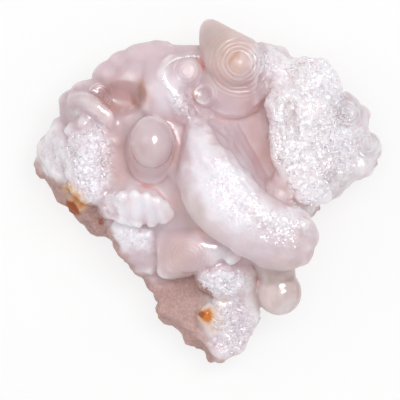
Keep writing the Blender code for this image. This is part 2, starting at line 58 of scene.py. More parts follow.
# Masses: balls (x, y, z, radius) wrapped in one skin, with roots down to the slab.
masses = {
    "upperBlanket": (
        (-24.5, 27.5, 18, 4.5), (-20.5, 31, 21, 4), (-15.5, 33, 23, 4.3), (-8, 32.5, 24, 4),
        (-1.5, 33.5, 22, 3.5), (-3, 24, 24, 4), (-18.5, 28.5, 25.5, 3.5),
    ),
    "drip": (
        (-13, 31.5, 26.6, 3.2), (-13.2, 26, 28.6, 3.2), (-13.6, 21.4, 27.2, 3.2), (-6.6, 20.4, 27, 3),
        (-9.5, 26, 29, 3.2), (-6.4, 30.5, 26, 3),
    ),
    "upperSaddle": ((-4, 20, 23, 4), (-0.5, 25, 24.5, 4), (5, 24.5, 25, 5), (8, 19, 20, 4)),
    "leftSugar": (
        (-30, 14, 22, 4), (-30.2, 9, 24, 4.2), (-30.6, 4, 24, 4.3), (-28.3, 0.2, 23, 3.8),
        (-34, 9, 20.5, 3.2),
    ),
    "leftGreySlab": (
        (-37, 15.8, 15.5, 3), (-40.4, 10.5, 13, 2.8), (-41.2, 6.2, 10.5, 2.5), (-35.6, 10.5, 19, 3),
        (-36.4, 4.6, 17, 3),
    ),
    "creviceFloor": (
        (13.5, 26, 21, 5), (9, 17.5, 20, 6), (14, 15, 19.5, 7), (14.5, 6, 20, 6.4), (18.6, -1.5, 21.5, 5),
    ),
    "channelFloor": (
        (-8, 17.5, 23.5, 3), (-8.5, 6, 23.5, 3), (-10.5, -6.5, 21.5, 3), (0, -10, 21.5, 3),
        (10, -15.5, 20, 3), (5, -17, 20, 3), (-13.5, 0, 21.5, 3), (-14, -8, 19.5, 2.6),
    ),
    "pitFloor": (
        (-27.5, 24.5, 19.5, 2.6), (-18, 26, 19.5, 2.6), (-17, 19.5, 19.5, 2.6), (-25, 18.5, 20, 2.6),
    ),
    "pinkBed": (
        (-25.5, 14.5, 22, 3.2), (-19, 16.5, 22.5, 3.2), (-18.5, 2.5, 23, 3.2), (-25.5, 2.5, 23, 3.2),
    ),
    "tongue": (
        (-24, -2.5, 22, 3.8), (-19, -1.8, 25, 4), (-14.5, -2.8, 26, 3.6), (-12, -4.6, 25.5, 2.8),
        (-18.5, -5.5, 23.5, 3.2),
    ),
    "lowSlab": (
        (-22, -10, 18, 2.8), (-15.5, -10.5, 19.5, 2.8), (-19.6, -14.5, 15.5, 2.6),
        (-14.5, -17.5, 15.5, 2.8), (-15.6, -20, 12.5, 2.2),
    ),
    "fan": (
        (-7.5, -12.5, 22, 3.4), (-8.5, -17.5, 20.8, 3.2), (-2.5, -13.5, 24.5, 4.4), (-3, -17, 22.5, 3.2),
        (4, -13.5, 24.5, 3.6),
    ),
    "lowSugar": (
        (0, -20, 21, 2.8), (5, -20.5, 22, 3.2), (9.3, -21, 20, 2.8), (3, -23.5, 19.5, 2.6),
        (8, -24.5, 18.5, 2.6),
    ),
    "footBlock": (
        (-0.5, -31, 15.5, 1.6), (3, -28, 17.5, 1.8), (10.5, -28, 16, 1.6), (12, -32.3, 13, 1.4),
        (8, -38.5, 11.5, 1.4), (3.6, -42.2, 9.5, 1.4), (1, -39, 11, 1.4),
    ),
    "rightCrown": ((24.5, 29.8, 30, 3.4), (28, 28.8, 28, 4), (30.4, 24.6, 26.6, 3.5), (24, 25, 31.6, 3.4)),
    "rightShoulder": (
        (13.5, 34.6, 24, 3.2), (17, 32.8, 26, 3.5), (20.8, 29.8, 28, 3.6), (13.5, 30, 27, 3.5),
        (17, 28.5, 27, 3),
    ),
    "rightPlateau": (
        (20, 24, 30.5, 3.4), (20.4, 16.5, 32.5, 3), (20, 9.5, 32.5, 3.2), (22.5, 3, 30.5, 3.4),
        (27, 20.5, 31, 3.8), (29.5, 13.5, 28.6, 4), (28.5, 6.5, 27.6, 4),
    ),
    "rightFlank": (
        (36.4, 6.8, 17.5, 3.6), (39.8, 11, 14.5, 3.2), (33.6, 15.5, 23, 3.8), (37, 16, 19, 3.6),
        (33.4, 3.4, 17, 3), (29.5, 1.8, 22, 3.4), (34, 9, 22.5, 3.6),
    ),
    "snailRoot": ((2.6, 36.2, 17, 3.4), (6, 34, 21, 4.6), (11, 30, 22, 4.2), (3.5, 29, 22, 4)),
    "hookBody": (
        (-33.9, 23.3, 19.5, 3.2), (-30.9, 25.2, 20, 2.8), (-28.2, 22.8, 22, 2.8), (-25.9, 19.8, 22.5, 2.6),
        (-31.9, 20.6, 22, 3.2), (-34.2, 19.6, 17.5, 3), (-29.4, 18.6, 22, 3), (-25, 16.6, 21.5, 2.4),
    ),
    "armRoot": ((-1, 10, 24, 5), (3, 0, 25, 6), (12, -7.5, 24, 5.5), (17.5, -10, 21, 5)),
    "armSlope": (
        (1, 16, 28.4, 1.8), (4.6, 10.8, 30.4, 2.2), (7.6, 4.6, 31.2, 2.4), (11.4, -1.2, 31.2, 2.4),
        (6.6, 17, 25, 1.4), (9.4, 11, 25, 1.4), (12.2, 5, 25.2, 1.4), (15.4, -0.5, 26, 1.6),
    ),
    "ballNest": (
        (-8.6, 19, 26, 2.4), (-6.4, 14.5, 26, 2.4), (-6.6, 9.5, 26, 2.4), (-14, 20.4, 25.6, 2.2),
        (-19.5, 18, 24.4, 2.2), (-7.4, 4.5, 26, 2.4),
    ),
}

# The roots of a mass: the height of their balls, and how far they draw in towards its middle.
massRoots = {"height": 11, "drawnIn": 0.14}

# Single lobes: centre, then half sizes along X, Y and Z.
lobes = {
    "ball": ((-13.9, 12.4, 32.8), (5.2, 6.3, 6.3)),
    "ballStep": ((-14, 11.4, 29.4), (5.8, 7.3, 5)),
    "ballCollar": ((-14.3, 10.2, 26.6), (6.1, 8.3, 5.2)),
    "ballStalk": ((-14.2, 9, 20), (6.8, 8, 8)),
    "snailDome": ((7.2, 32.4, 30), (7, 7, 8.2)),
    "snailEye": ((7.8, 32.1, 37.4), (1.8, 1.8, 1.6)),
    "snailApron": ((6.6, 26.8, 27.2), (8.4, 8.2, 6.6)),
    "shoulderFoot": ((14.2, 25.8, 25.8), (3.4, 3.4, 4.2)),
    "innerDome": ((-5.1, 30.2, 27.6), (3.9, 3.9, 3.9)),
    "secondDome": ((-0.9, 24.5, 28.2), (3, 3, 2.7)),
    "hookBead": ((-30.9, 17.2, 24.2), (2, 1.9, 2)),
    "hookFoot": ((-33.4, 15.8, 21.8), (2, 2, 2)),
    "bedKnob": ((-23.4, 13, 24), (2.2, 2.2, 2)),
    "bedSwell": ((-22, 7.5, 22.5), (5, 6, 4.4)),
    "blanketSlope": ((-22.5, 29, 19.5), (6.5, 4.6, 6)),
    "blanketSwell": ((-13, 33.6, 22), (9, 4.5, 6.5)),
    "blanketEdge": ((-20.6, 31.8, 20.5), (4.8, 4, 5.4)),
    "fanKnob": ((5.9, -16, 25.4), (2.3, 2.2, 2.2)),
    "armKnob": ((23.8, -8.2, 35.6), (2, 2, 2)),
    "smallBall": ((18.1, -25.4, 17.4), (5.75, 5.75, 5.75)),
    "shellBlob": ((34.8, 20, 23), (3.5, 3.9, 4.4)),
    "shellCore": ((35, 20.6, 26.4), (1.8, 1.8, 1.8)),
    "shellBed": ((32.8, 17.6, 22.4), (3.6, 4.2, 5.4)),
    "shellNest": ((31.4, 21, 25), (2.8, 3.2, 4.4)),
    "shellTailBead": ((35.6, 17, 24.2), (1.9, 2, 2.2)),
    "rightLobe": ((37.8, 17.4, 17.5), (3.3, 4.8, 5.4)),
    "tipLobe": ((40.2, 11.4, 15.8), (3.5, 4.4, 5.2)),
    "tipSwell": ((37.6, 12.4, 18.6), (4, 4.2, 4.8)),
    "lowerRight": ((36.4, 7.4, 18), (5.8, 4.6, 5.8)),
    "crownSwell": ((28.2, 27, 29.5), (4.4, 6, 4.4)),
    "brightLobe": ((17.8, 19.8, 33.4), (2.1, 4, 2.8)),
    "plateauSwell": ((22, 11, 32.2), (4.4, 5.6, 3.8)),
    "fieldSwell": ((28, 14, 29.5), (4.2, 5, 3.8)),
    "lowLobe": ((26, 0.6, 30), (4.6, 4.6, 5)),
    "creviceEnd": ((22.4, -2.8, 24.5), (4.4, 4, 5.4)),
    "creviceFoot": ((17.6, -0.8, 27), (4.4, 4.4, 5)),
    "pinkLobe": ((18.4, 2.8, 28.6), (2.2, 3.2, 4)),
    "rightSideLow": ((38.2, 8.6, 11), (4.6, 4.6, 4.4)),
    "rightSideFront": ((30.2, 1.4, 13.5), (4.4, 3.6, 5)),
    "rightSideBack": ((36, 17, 12.5), (4.6, 4.4, 4.8)),
    "crownSide": ((30, 27, 17), (3.6, 4, 5)),
    "crownSideLow": ((25, 29, 12), (4.6, 3.4, 4)),
    "backSideRight": ((14, 32.4, 14.5), (5, 3.6, 5)),
    "backSideMid": ((-8, 32.2, 15.5), (5.2, 3.8, 5)),
    "backSideLeft": ((-20.5, 29.8, 14), (5, 4, 4.6)),
    "leftSideBack": ((-30.5, 23.5, 12.5), (4, 3.8, 4)),
}

# Limbs: a lobe drawn along a path of (x, y, z, radius).
limbs = {
    "greatArm": (
        (-2.4, 16, 29, 3.2), (-1.4, 11.6, 30.6, 4.8), (-0.2, 4.2, 31.4, 7.4), (3.6, -2.3, 32, 8.6),
        (11.2, -8, 31.2, 8.2), (18.6, -11.4, 29.4, 8.6),
    ),
    "armCrest": (
        (-2.6, 14, 31.6, 3), (1.6, 7.5, 34.4, 5), (6.8, 0.8, 35.2, 5.3), (13.6, -5.8, 34.4, 5.2),
        (21, -8.8, 32, 5.4),
    ),
    "armFlank": (
        (0.6, 17.4, 24.6, 3.2), (4.4, 11.4, 25.4, 5), (6.8, 5, 26.4, 5.2), (10.6, -1.2, 27.2, 4.8),
        (16.4, -5.4, 27.6, 3.8),
    ),
    "armSeam": ((-1, 16.6, 28.6, 1.8), (3, 11.4, 31.2, 2.6), (5.8, 5.6, 32.4, 2.8), (9.8, -0.8, 33, 2.8)),
    "crest": (
        (-2.5, 33.9, 25.2, 1.7), (-7, 33.4, 27.4, 1.7), (-9.9, 32, 29.2, 1.8), (-11.2, 29.3, 30.4, 1.9),
        (-10, 26.2, 30.4, 2.2), (-7.6, 23, 29.6, 2.6), (-5.8, 19.6, 28.6, 2.8),
    ),
    "hookOuter": (
        (-35, 20, 18.5, 2.4), (-34, 23.4, 20, 2.5), (-31.9, 25.4, 21.5, 2.4), (-28.8, 26.3, 22, 2.2),
        (-26, 26, 22, 1.8),
    ),
    "hookInner": (
        (-33.2, 23, 23, 2.2), (-30.4, 22.9, 24.6, 2.4), (-27.6, 21, 25.2, 2.3), (-25, 18.6, 24.8, 2.2),
        (-24.2, 15.6, 23.6, 1.9),
    ),
    "bedFoldLeft": ((-21.4, 19.6, 23.8, 1.5), (-21.9, 17, 24.4, 1.4), (-22, 14.4, 24.4, 1.4)),
    "bedFoldRight": ((-18.6, 20.4, 24.4, 1.4), (-19.4, 17.4, 25, 1.3), (-19.8, 14, 25, 1.3)),
    "snailHorn": ((0.9, 40.6, 23, 3), (2.7, 37.3, 27, 4.8), (5.5, 33.9, 30.6, 6.5)),
    "snailRib": ((11.6, 28.4, 33.4, 1.3), (11.2, 25.6, 31.8, 1.3), (11.4, 23, 29.8, 1.9)),
    "rightLip": (
        (17.6, 28, 29, 1.8), (17.4, 24.4, 31, 1.8), (16.6, 20.5, 32.4, 1.6), (17.2, 16.5, 33, 1.7),
        (17, 12.6, 33.6, 1.6), (17.2, 8.8, 33.6, 1.6), (19, 5.6, 32.8, 1.6), (19.6, 2.4, 31, 1.6),
        (20.4, -0.6, 29.5, 1.8),
    ),
    "shellRim": (
        (32.2, 19.4, 25.4, 0.9), (32.4, 22.2, 25.6, 1), (34.2, 24, 25, 1), (36.8, 23, 23.6, 1),
        (38.2, 20.6, 22, 1),
    ),
    "shellTail": (
        (36.4, 18.6, 23.4, 2), (34.4, 15.8, 24.2, 1.6), (32.4, 14.2, 26.4, 1.2), (30.6, 13.4, 28.6, 0.8),
    ),
    "tipFold": ((35.6, 10.4, 22.4, 1), (38, 10.8, 21.2, 1.1), (40.4, 9.4, 19, 1.1), (42, 7.6, 16.4, 1)),
    "tipRim": (
        (37.6, 11.6, 23, 0.7), (38.8, 14.2, 21.6, 0.8), (41.2, 14.4, 18.6, 0.8), (42.7, 12, 16.4, 0.8),
    ),
    "crownRidge": (
        (25.2, 31, 29.6, 2.8), (25.6, 27.5, 31.6, 3.2), (26.2, 23.6, 32, 3), (26.6, 19.6, 31.6, 2.6),
    ),
    "fanRim": (
        (-7, -9, 22, 2), (-9.8, -10.6, 21.5, 2), (-11, -13.2, 20.8, 2.1), (-10.9, -16.2, 20.2, 2.2),
        (-11, -18.8, 19.4, 2.2), (-9, -20.4, 19, 2), (-6.4, -19.8, 19.6, 2), (-3.6, -18.8, 20, 2),
    ),
    "lowRim": (
        (-1.2, -21.6, 19.5, 1.8), (1.6, -24.2, 19, 1.8), (5.2, -25.6, 18.5, 1.8), (9, -25.6, 18, 1.8),
    ),
    "lowRidge": ((9.6, -22, 19.2, 2.4), (10.6, -26.5, 17.6, 2.3), (11.4, -31, 14.6, 2)),
    "blockLedge": ((-1.6, -31, 14.5, 1.3), (-0.4, -36.5, 12.5, 1.2), (1.2, -41, 10.5, 1.2)),
    "ballNeck": ((16.5, -16.5, 21, 5), (17.8, -22, 18, 4.6)),
    "ballBridge": ((9.5, -19.5, 14.5, 4), (12.4, -22.8, 14.5, 3.4), (15.8, -23, 14.5, 3.2)),
}

# Rounds of subdivision of the forms' spheres, the radius from which a limb's are finer, and the steps
# between two points of a limb's path.
fineness = {"lobe": 5, "ball": 3, "wideBall": 4, "wideFrom": 3, "knob": 3, "knobCover": 2, "limbSteps": 4}

# The tongue's ribs, each from one end to the other over its back.
tongueRibs = {
    "radius": 1.4,
    "ends": (
        ((-24.6, -1.5, 24.8), (-25, -5, 23.2)), ((-21.4, -1, 28.3), (-21.4, -6.4, 25.2)),
        ((-18.2, -0.6, 29.6), (-17.6, -7.6, 26)), ((-15.2, -1.2, 29.9), (-13.9, -7.6, 26.7)),
        ((-12.6, -2.2, 29.2), (-11, -6.8, 27)), ((-10.6, -3.2, 28.2), (-9.4, -5.4, 27)),
    ),
}

# Hollows pressed into the grown face: centre, half sizes along X and Y, depth.
hollows = {
    "pit": ((-21, 23.8), (6, 4.4), 1.6),
    "secondCup": ((-0.9, 24.5), (2.1, 2.1), 1),
    "shellCup": ((35.2, 21), (1.6, 1.8), 1),
    "plateauGroove": ((21, 18), (1.9, 5.2), 2.6),
    "scallop": ((-8.5, -25.5), (3.6, 4.2), 2),
}

# Large knobs on the sugary masses: how many, their smallest and their largest radius.
sugarKnobs = {
    "leftSugar": (34, 0.6, 1.4),
    "leftGreySlab": (16, 0.5, 1.1),
    "rightPlateau": (80, 0.7, 1.8),
    "rightCrown": (34, 0.6, 1.5),
    "rightShoulder": (14, 0.5, 1.1),
    "rightFlank": (24, 0.7, 1.5),
    "lowSugar": (22, 0.6, 1.2),
    "footBlock": (18, 0.5, 1),
    "lowSlab": (10, 0.5, 1),
}
# Their seed, the share of a radius that lies buried, and how upright the skin under them is at least.
knobPlace = {"seed": 11, "buried": 0.62, "upright": 0.25}

# The fused skin: step between its points, rounds of easing, the rough cut under it, and its most triangles.
# They are thinned least where the skin is high and turned up. Crust is not thinned but halved once more.
skin = {
    "step": 0.36, "easing": 9, "hollowEasing": 24, "roughCut": -0.6, "turnedUp": 0.1,
    "triangles": 190000, "seenHeight": (9, 18), "seenTurn": (-0.5, 0.1), "seenKept": 0.85,
    "crustFrom": 0.55, "crustAbove": 13, "crustCost": 3.1,
}

# Broken faces and uneven growth: depth and size of each, and the height up to which the break shows.
rough = {
    "breakDepth": 1.4, "breakSize": 5, "breakTop": 17, "breakFade": 6,
    "growthDepth": 0.55, "growthSteep": 1.6, "growthSize": 4.5,
}

# Lobes that stay smooth: centre and reach.
smoothLobes = {
    "ball": ((-14, 11), 14),
    "snail": ((5, 34.5), 15),
    "smallBall": ((18.1, -25.4), 12),
    "drip": ((-10.5, 26), 9),
    "fan": ((-6, -15.5), 9),
    "blanket": ((-19, 29.5), 13),
    "tongue": ((-15.5, -3.5), 8),
    "arm": ((3, -3), 15),
    "armEnd": ((15, -9), 13),
    "crevice": ((13, 12), 11),
    "creviceLow": ((16.5, 2), 8),
    "bed": ((-22, 8), 9),
    "hook": ((-30.5, 22), 8),
    "shell": ((35, 20), 6.5),
}


def addObject(name, data):
    made = bpy.data.objects.new(name, data)
    bpy.context.scene.collection.objects.link(made)
    return made


def joinedForms(parts):
    # one bmesh holding all the parts side by side
    whole = bmesh.new()
    scratch = bpy.data.meshes.new("scratch")
    for part in parts:
        part.to_mesh(scratch)
        part.free()
        whole.from_mesh(scratch)
    bpy.data.meshes.remove(scratch)
    return whole


def lobeForm(centre, radii, rounds=fineness["lobe"]):
    made = bmesh.new()
    place = Matrix.Translation(centre) @ Matrix.Diagonal((*radii, 1.0))
    bmesh.ops.create_icosphere(made, subdivisions=rounds, radius=1.0, matrix=place)
    return made


def wrappedForm(balls, rounds=fineness["ball"]):
    # the skin drawn tight round a few balls
    made = bmesh.new()
    for x, y, z, radius in balls:
        place = Matrix.Translation((x, y, z))
        bmesh.ops.create_icosphere(made, subdivisions=rounds, radius=radius, matrix=place)
    hull = bmesh.ops.convex_hull(made, input=made.verts)
    bmesh.ops.delete(made, geom=hull["geom_interior"], context="VERTS")
    loose = [vert for vert in made.verts if not vert.link_faces]
    bmesh.ops.delete(made, geom=loose, context="VERTS")
    return made


def massForm(balls, rounds=fineness["ball"]):
    # a mass with its roots, which taper towards its middle
    middle = sum((Vector(ball[:2]) for ball in balls), Vector((0.0, 0.0))) / len(balls)
    roots = []
    for x, y, _, radius in balls:
        drawn = Vector((x, y)).lerp(middle, massRoots["drawnIn"])
        roots.append((drawn.x, drawn.y, massRoots["height"], radius))
    return wrappedForm(list(balls) + roots, rounds)


def easedPath(path, steps=fineness["limbSteps"]):
    # points added between the path's own, on a curve that runs through them
    points = [Vector(point) for point in path]
    ends = [points[0] * 2 - points[1], *points, points[-1] * 2 - points[-2]]
    curve = []
    for before, start, end, after in zip(ends, ends[1:], ends[2:], ends[3:]):
        for step in range(steps):
            t = step / steps
            bend = (end - before) * t + (before * 2 - start * 5 + end * 4 - after) * t**2
            curve.append(start + (bend + (start * 3 - before - end * 3 + after) * t**3) / 2)
    return curve + [points[-1]]


def limbForm(path):
    curve = easedPath(path) if len(path) > 2 else path
    widest = max(point[3] for point in path)
    rounds = fineness["wideBall" if widest > fineness["wideFrom"] else "ball"]
    return joinedForms([wrappedForm(span, rounds) for span in zip(curve, curve[1:])])


def slabForm():
    made = bmesh.new()
    rings = []
    for height, inset in slabLevels:
        rings.append([made.verts.new((x * (1 - inset), y * (1 - inset), height)) for x, y in slabOutline])
    count = len(slabOutline)
    for lower, upper in zip(rings, rings[1:]):
        for i in range(count):
            j = (i + 1) % count
            made.faces.new((lower[i], lower[j], upper[j], upper[i]))
    made.faces.new(reversed(rings[0]))
    made.faces.new(rings[-1])
    bmesh.ops.triangulate(made, faces=made.faces)
    return made


def skinBelow(tree, x, y):
    # the first point of a skin straight down from the sky, and the way it faces there
    return tree.ray_cast(Vector((x, y, skyHeight)), Vector((0.0, 0.0, -1.0)))[:2]


def knobForms(balls, count, smallest, largest, rng):
    # knobs part buried in the upper skin of a mass, where the solid has them too
    cover = massForm(balls, fineness["knobCover"])
    tree = BVHTree.FromBMesh(cover)
    cover.free()
    xs, ys = [ball[0] for ball in balls], [ball[1] for ball in balls]
    reach = max(ball[3] for ball in balls)
    knobs = []
    while len(knobs) < count:
        x = rng.uniform(min(xs) - reach, max(xs) + reach)
        y = rng.uniform(min(ys) - reach, max(ys) + reach)
        hit, normal = skinBelow(tree, x, y)
        if hit is None or normal.z < knobPlace["upright"]:
            continue
        radius = rng.uniform(smallest, largest)
        middle = hit - normal * radius * knobPlace["buried"]
        knobs.append(lobeForm(middle, (radius,) * 3, fineness["knob"]))
    return knobs


def allForms():
    rng = random.Random(knobPlace["seed"])
    forms = [slabForm()]
    forms += [massForm(balls) for balls in masses.values()]
    forms += [lobeForm(centre, radii) for centre, radii in lobes.values()]
    forms += [limbForm(path) for path in limbs.values()]
    forms += [wrappedForm([(*end, tongueRibs["radius"]) for end in rib]) for rib in tongueRibs["ends"]]
    for name, (count, smallest, largest) in sugarKnobs.items():
        forms += knobForms(masses[name], count, smallest, largest, rng)
    return joinedForms(forms)


def withModifiers(mesh, settings, groups=None):
    # the mesh as a list of (type, values) modifiers leaves it; groups holds vertex group weights
    body = addObject("working", mesh)
    for name, weights in (groups or {}).items():
        group = body.vertex_groups.new(name=name)
        for share in np.unique(weights):
            group.add(np.nonzero(weights == share)[0].tolist(), float(share), "REPLACE")
    for kind, values in settings:
        modifier = body.modifiers.new(kind.lower(), kind)
        for key, value in values.items():
            setattr(modifier, key, value)
    graph = bpy.context.evaluated_depsgraph_get()
    made = bpy.data.meshes.new_from_object(body.evaluated_get(graph))
    bpy.data.objects.remove(body)
    return made


def vectorsOf(items, key):
    values = np.empty(len(items) * 3, np.float32)
    items.foreach_get(key, values)
    return values.reshape(-1, 3).astype(float)


def skinOf(mesh):
    # its points and the way it faces at each
    return vectorsOf(mesh.vertices, "co"), vectorsOf(mesh.vertex_normals, "vector")


def setPoints(mesh, points):
    mesh.vertices.foreach_set("co", points.astype(np.float32).ravel())
    mesh.update()


def keepOuterSkin(form):
    # only the largest closed skin stays, so nothing is sealed inside
    unseen = set(form.verts)
    islands = []
    while unseen:
        seed = unseen.pop()
        island, edge = [seed], [seed]
        while edge:
            vert = edge.pop()
            for link in vert.link_edges:
                other = link.other_vert(vert)
                if other in unseen:
                    unseen.remove(other)
                    island.append(other)
                    edge.append(other)
        islands.append(island)
    islands.sort(key=len)
    inner = [vert for island in islands[:-1] for vert in island]
    bmesh.ops.delete(form, geom=inner, context="VERTS")


def pressHollows(form):
    everyWay = {"use_axis_x": True, "use_axis_y": True, "use_axis_z": True}
    for (x, y), (halfX, halfY), depth in hollows.values():
        pressed = []
        for vert in form.verts:
            away = ((vert.co.x - x) / halfX) ** 2 + ((vert.co.y - y) / halfY) ** 2
            if away < 1.0 and vert.co.z > rough["breakTop"] and vert.normal.z > skin["turnedUp"]:
                vert.co.z -= depth * (1.0 - away**2)
                pressed.append(vert)
        for _ in range(skin["hollowEasing"]):
            bmesh.ops.smooth_vert(form, verts=pressed, factor=0.5, **everyWay)


def inTriangles(form):
    bmesh.ops.triangulate(form, faces=[face for face in form.faces if len(face.verts) > 3])


def cutFlat(form, height):
    everything = form.verts[:] + form.edges[:] + form.faces[:]
    cut = bmesh.ops.bisect_plane(
        form, geom=everything, plane_co=(0.0, 0.0, height), plane_no=(0.0, 0.0, 1.0), clear_inner=True
    )
    rim = [item for item in cut["geom_cut"] if isinstance(item, bmesh.types.BMEdge)]
    bmesh.ops.edgeloop_fill(form, edges=rim)
    inTriangles(form)


def ramp(values, low, high):
    # 0 below low, 1 above high, smooth between
    share = np.clip((values - low) / (high - low), 0.0, 1.0)
    return share * share * (3.0 - 2.0 * share)


def fractalAt(points, size, octaves, offset=0.0):
    shift = Vector((offset, offset * 0.7, -offset))
    return np.array([noise.fractal(Vector(p) / size + shift, 1.0, 2.0, octaves) for p in points.tolist()])


def outsideLobe(points, name):
    # 0 within half the lobe's reach, seen from above, and 1 beyond it
    (x, y), reach = smoothLobes[name]
    return np.clip(2.0 * np.hypot(points[:, 0] - x, points[:, 1] - y) / reach - 1.0, 0.0, 1.0)


def roughened(points, normals):
    broken = np.clip((rough["breakTop"] - points[:, 2]) / rough["breakFade"], 0.0, 1.0)
    broken *= outsideLobe(points, "smallBall")
    bare = np.min([outsideLobe(points, name) for name in smoothLobes], 0)
    breaks = fractalAt(points, rough["breakSize"], 3) * rough["breakDepth"] * broken
    depth = rough["growthDepth"] * (1.0 + rough["growthSteep"] * (1.0 - np.abs(normals[:, 2])))
    uneven = fractalAt(points, rough["growthSize"], 2) * depth * bare * (1.0 - broken)
    return points + normals * (breaks + uneven)[:, None]


def crustyPoints(points, normals):
    crusty = patchShare(points, "sugar") > skin["crustFrom"]
    return crusty & (points[:, 2] > skin["crustAbove"]) & (normals[:, 2] > skin["turnedUp"])


def halveCrust(form):
    # every edge of the crust's triangles gets a point in its middle
    form.normal_update()
    points = np.array([vert.co[:] for vert in form.verts])
    crusty = crustyPoints(points, np.array([vert.normal[:] for vert in form.verts]))
    form.verts.index_update()
    form.faces.index_update()
    crustFaces = {face.index for face in form.faces if all(crusty[vert.index] for vert in face.verts)}
    edges = [edge for edge in form.edges if any(face.index in crustFaces for face in edge.link_faces)]
    bmesh.ops.subdivide_edges(form, edges=edges, cuts=1, use_grid_fill=True)
    inTriangles(form)


def fusedSkin():
    raw = bpy.data.meshes.new("forms")
    forms = allForms()
    forms.to_mesh(raw)
    forms.free()
    print("forms laid out")
    fused = withModifiers(raw, [
        ("REMESH", {"mode": "VOXEL", "voxel_size": skin["step"]}),
        ("SMOOTH", {"factor": 0.5, "iterations": skin["easing"]}),
    ])
    form = bmesh.new()
    form.from_mesh(fused)
    keepOuterSkin(form)
    form.normal_update()
    pressHollows(form)
    cutFlat(form, skin["roughCut"])
    form.to_mesh(fused)
    form.free()
    setPoints(fused, roughened(*skinOf(fused)))
    print("skin fused,", len(fused.polygons), "triangles")
    # the sides and the cut are thinned most, the grown face least and the crust not at all
    points, normals = skinOf(fused)
    seen = ramp(points[:, 2], *skin["seenHeight"]) * ramp(normals[:, 2], *skin["seenTurn"])
    spare = np.round(1.0 - skin["seenKept"] * seen, 1)
    crusty = crustyPoints(points, normals)
    spare[crusty] = 0.0
    kept = sum(crusty[list(face.vertices)].all() for face in fused.polygons)
    share = (skin["triangles"] - skin["crustCost"] * kept) / len(fused.polygons)
    thinning = ("DECIMATE", {"ratio": share, "vertex_group": "spare"})
    thinned = withModifiers(fused, [thinning], {"spare": spare})
    form = bmesh.new()
    form.from_mesh(thinned)
    cutFlat(form, 0.0)
    halveCrust(form)
    form.to_mesh(thinned)
    form.free()
    print("skin thinned,", len(thinned.polygons), "triangles")
    return thinned


# Fine growth rings: centre, half sizes, first and last ring as shares of them, spacing in mm and strength.
growthRings = {
    "snail": ((7.8, 32.1), (8.4, 8.2), (0.3, 1), 1.05, 0.9),
    "fan": ((-4.8, -16.4), (6.2, 5.6), (0.22, 1), 0.95, 0.6),
    "innerDome": ((-5.1, 30.2), (3.8, 3.8), (0.2, 0.95), 0.9, 0.6),
    "secondDome": ((-0.9, 24.5), (3.4, 3.4), (0.3, 1), 0.8, 0.7),
    "hook": ((-27.1, 24.3), (3.4, 3.4), (0.2, 1), 0.8, 0.9),
    "tip": ((40.6, 12.2), (4.4, 4.4), (0.3, 1), 1.1, 1),
    "shell": ((35, 20.3), (3.4, 3.6), (0.25, 1), 0.85, 1),
    "smallBall": ((19.6, -27), (4.2, 3.8), (0.5, 0.95), 1.3, 0.5),
}
# Single fine ridges round a lobe: centre, half sizes, height and width.
ridgeLines = {
    "ballRing": ((-13.9, 12.3), (5.15, 6.2), 0.26, 0.28),
    "ballRingLow": ((-14, 11.4), (5.7, 7.2), 0.2, 0.3),
    "ballCollarLine": ((-14.1, 10.4), (6.2, 8), 0.16, 0.32),
    "secondDomeRim": ((-0.9, 24.5), (2.5, 2.5), 0.3, 0.4),
    "innerDomeRing": ((-5.1, 30.2), (1.3, 1.3), 0.2, 0.3),
    "eyeRing": ((7.8, 32.1), (1.9, 1.85), 0.3, 0.3),
    "eyeRingWide": ((8, 32.2), (2.9, 2.8), 0.22, 0.3),
    "snailFold": ((8.3, 32.9), (4.5, 4.2), 0.24, 0.34),
    "snailFoldWide": ((8.4, 33.2), (5.8, 5.4), 0.26, 0.36),
    "shellRing": ((35, 20.3), (2.1, 2.3), 0.3, 0.3),
    "shellRingWide": ((35, 20.2), (3.2, 3.5), 0.24, 0.3),
    "tipRing": ((40.2, 11.8), (3.2, 3.7), 0.3, 0.32),
    "tipRingIn": ((39.8, 12.2), (2, 2.4), 0.22, 0.3),
    "globuleHigh": ((-34.9, 1), (1.2, 1.2), 0.24, 0.26),
    "globuleMid": ((-33.1, -1.3), (1.7, 1.6), 0.24, 0.26),
    "globuleLow": ((-32.1, -3.3), (1.3, 1.2), 0.22, 0.26),
}
# The lines that run along the arm's steep side: their path, reach, spacing and height, the share of the
# reach from which they fade, and their wander.
flankLines = {
    "path": ((-2, 19.5), (4.2, 15.5), (8, 9.2), (12.4, 1)),
    "reach": 5, "spacing": 1.6, "height": 0.15, "fade": 0.6, "wander": 0.5, "wanderSize": 2.6,
}

# Where each finish shows: centre, half sizes, turn in degrees and strength.
shinePatches = {
    "ball": ((-13.9, 12), (6.2, 7.6), 0, 1),
    "smallBall": ((18.1, -25.4), (6.6, 6.6), 0, 1),
    "hook": ((-30, 22.5), (6.5, 4.8), -30, 1),
    "drip": ((-12.5, 25.5), (3.8, 6.5), 0, 0.7),
    "fanKnobs": ((2.5, -15.5), (5, 3.2), -20, 1),
    "shell": ((35, 19.5), (4, 5), 0, 0.9),
    "tip": ((40, 12), (4.5, 4.5), 0, 0.8),
    "eye": ((7.8, 32), (3, 3), 0, 0.35),
    "snail": ((7, 31), (8, 9), 0, 0.3),
    "snailRight": ((12, 33.5), (3, 4), 20, 0.8),
    "apron": ((10, 27), (4.5, 4), 0, 0.6),
    "tongueTip": ((-12.5, -4.5), (3.5, 3), 0, 0.6),
    "armKnob": ((23.8, -8.2), (2.8, 2.8), 0, 0.9),
    "innerDome": ((-5, 30), (4.2, 4.2), 0, 0.15),
    "secondDome": ((-0.9, 24.5), (3.4, 3.4), 0, 0.8),
    "bedFolds": ((-20.5, 17), (3.5, 3.5), 0, 0.5),
}
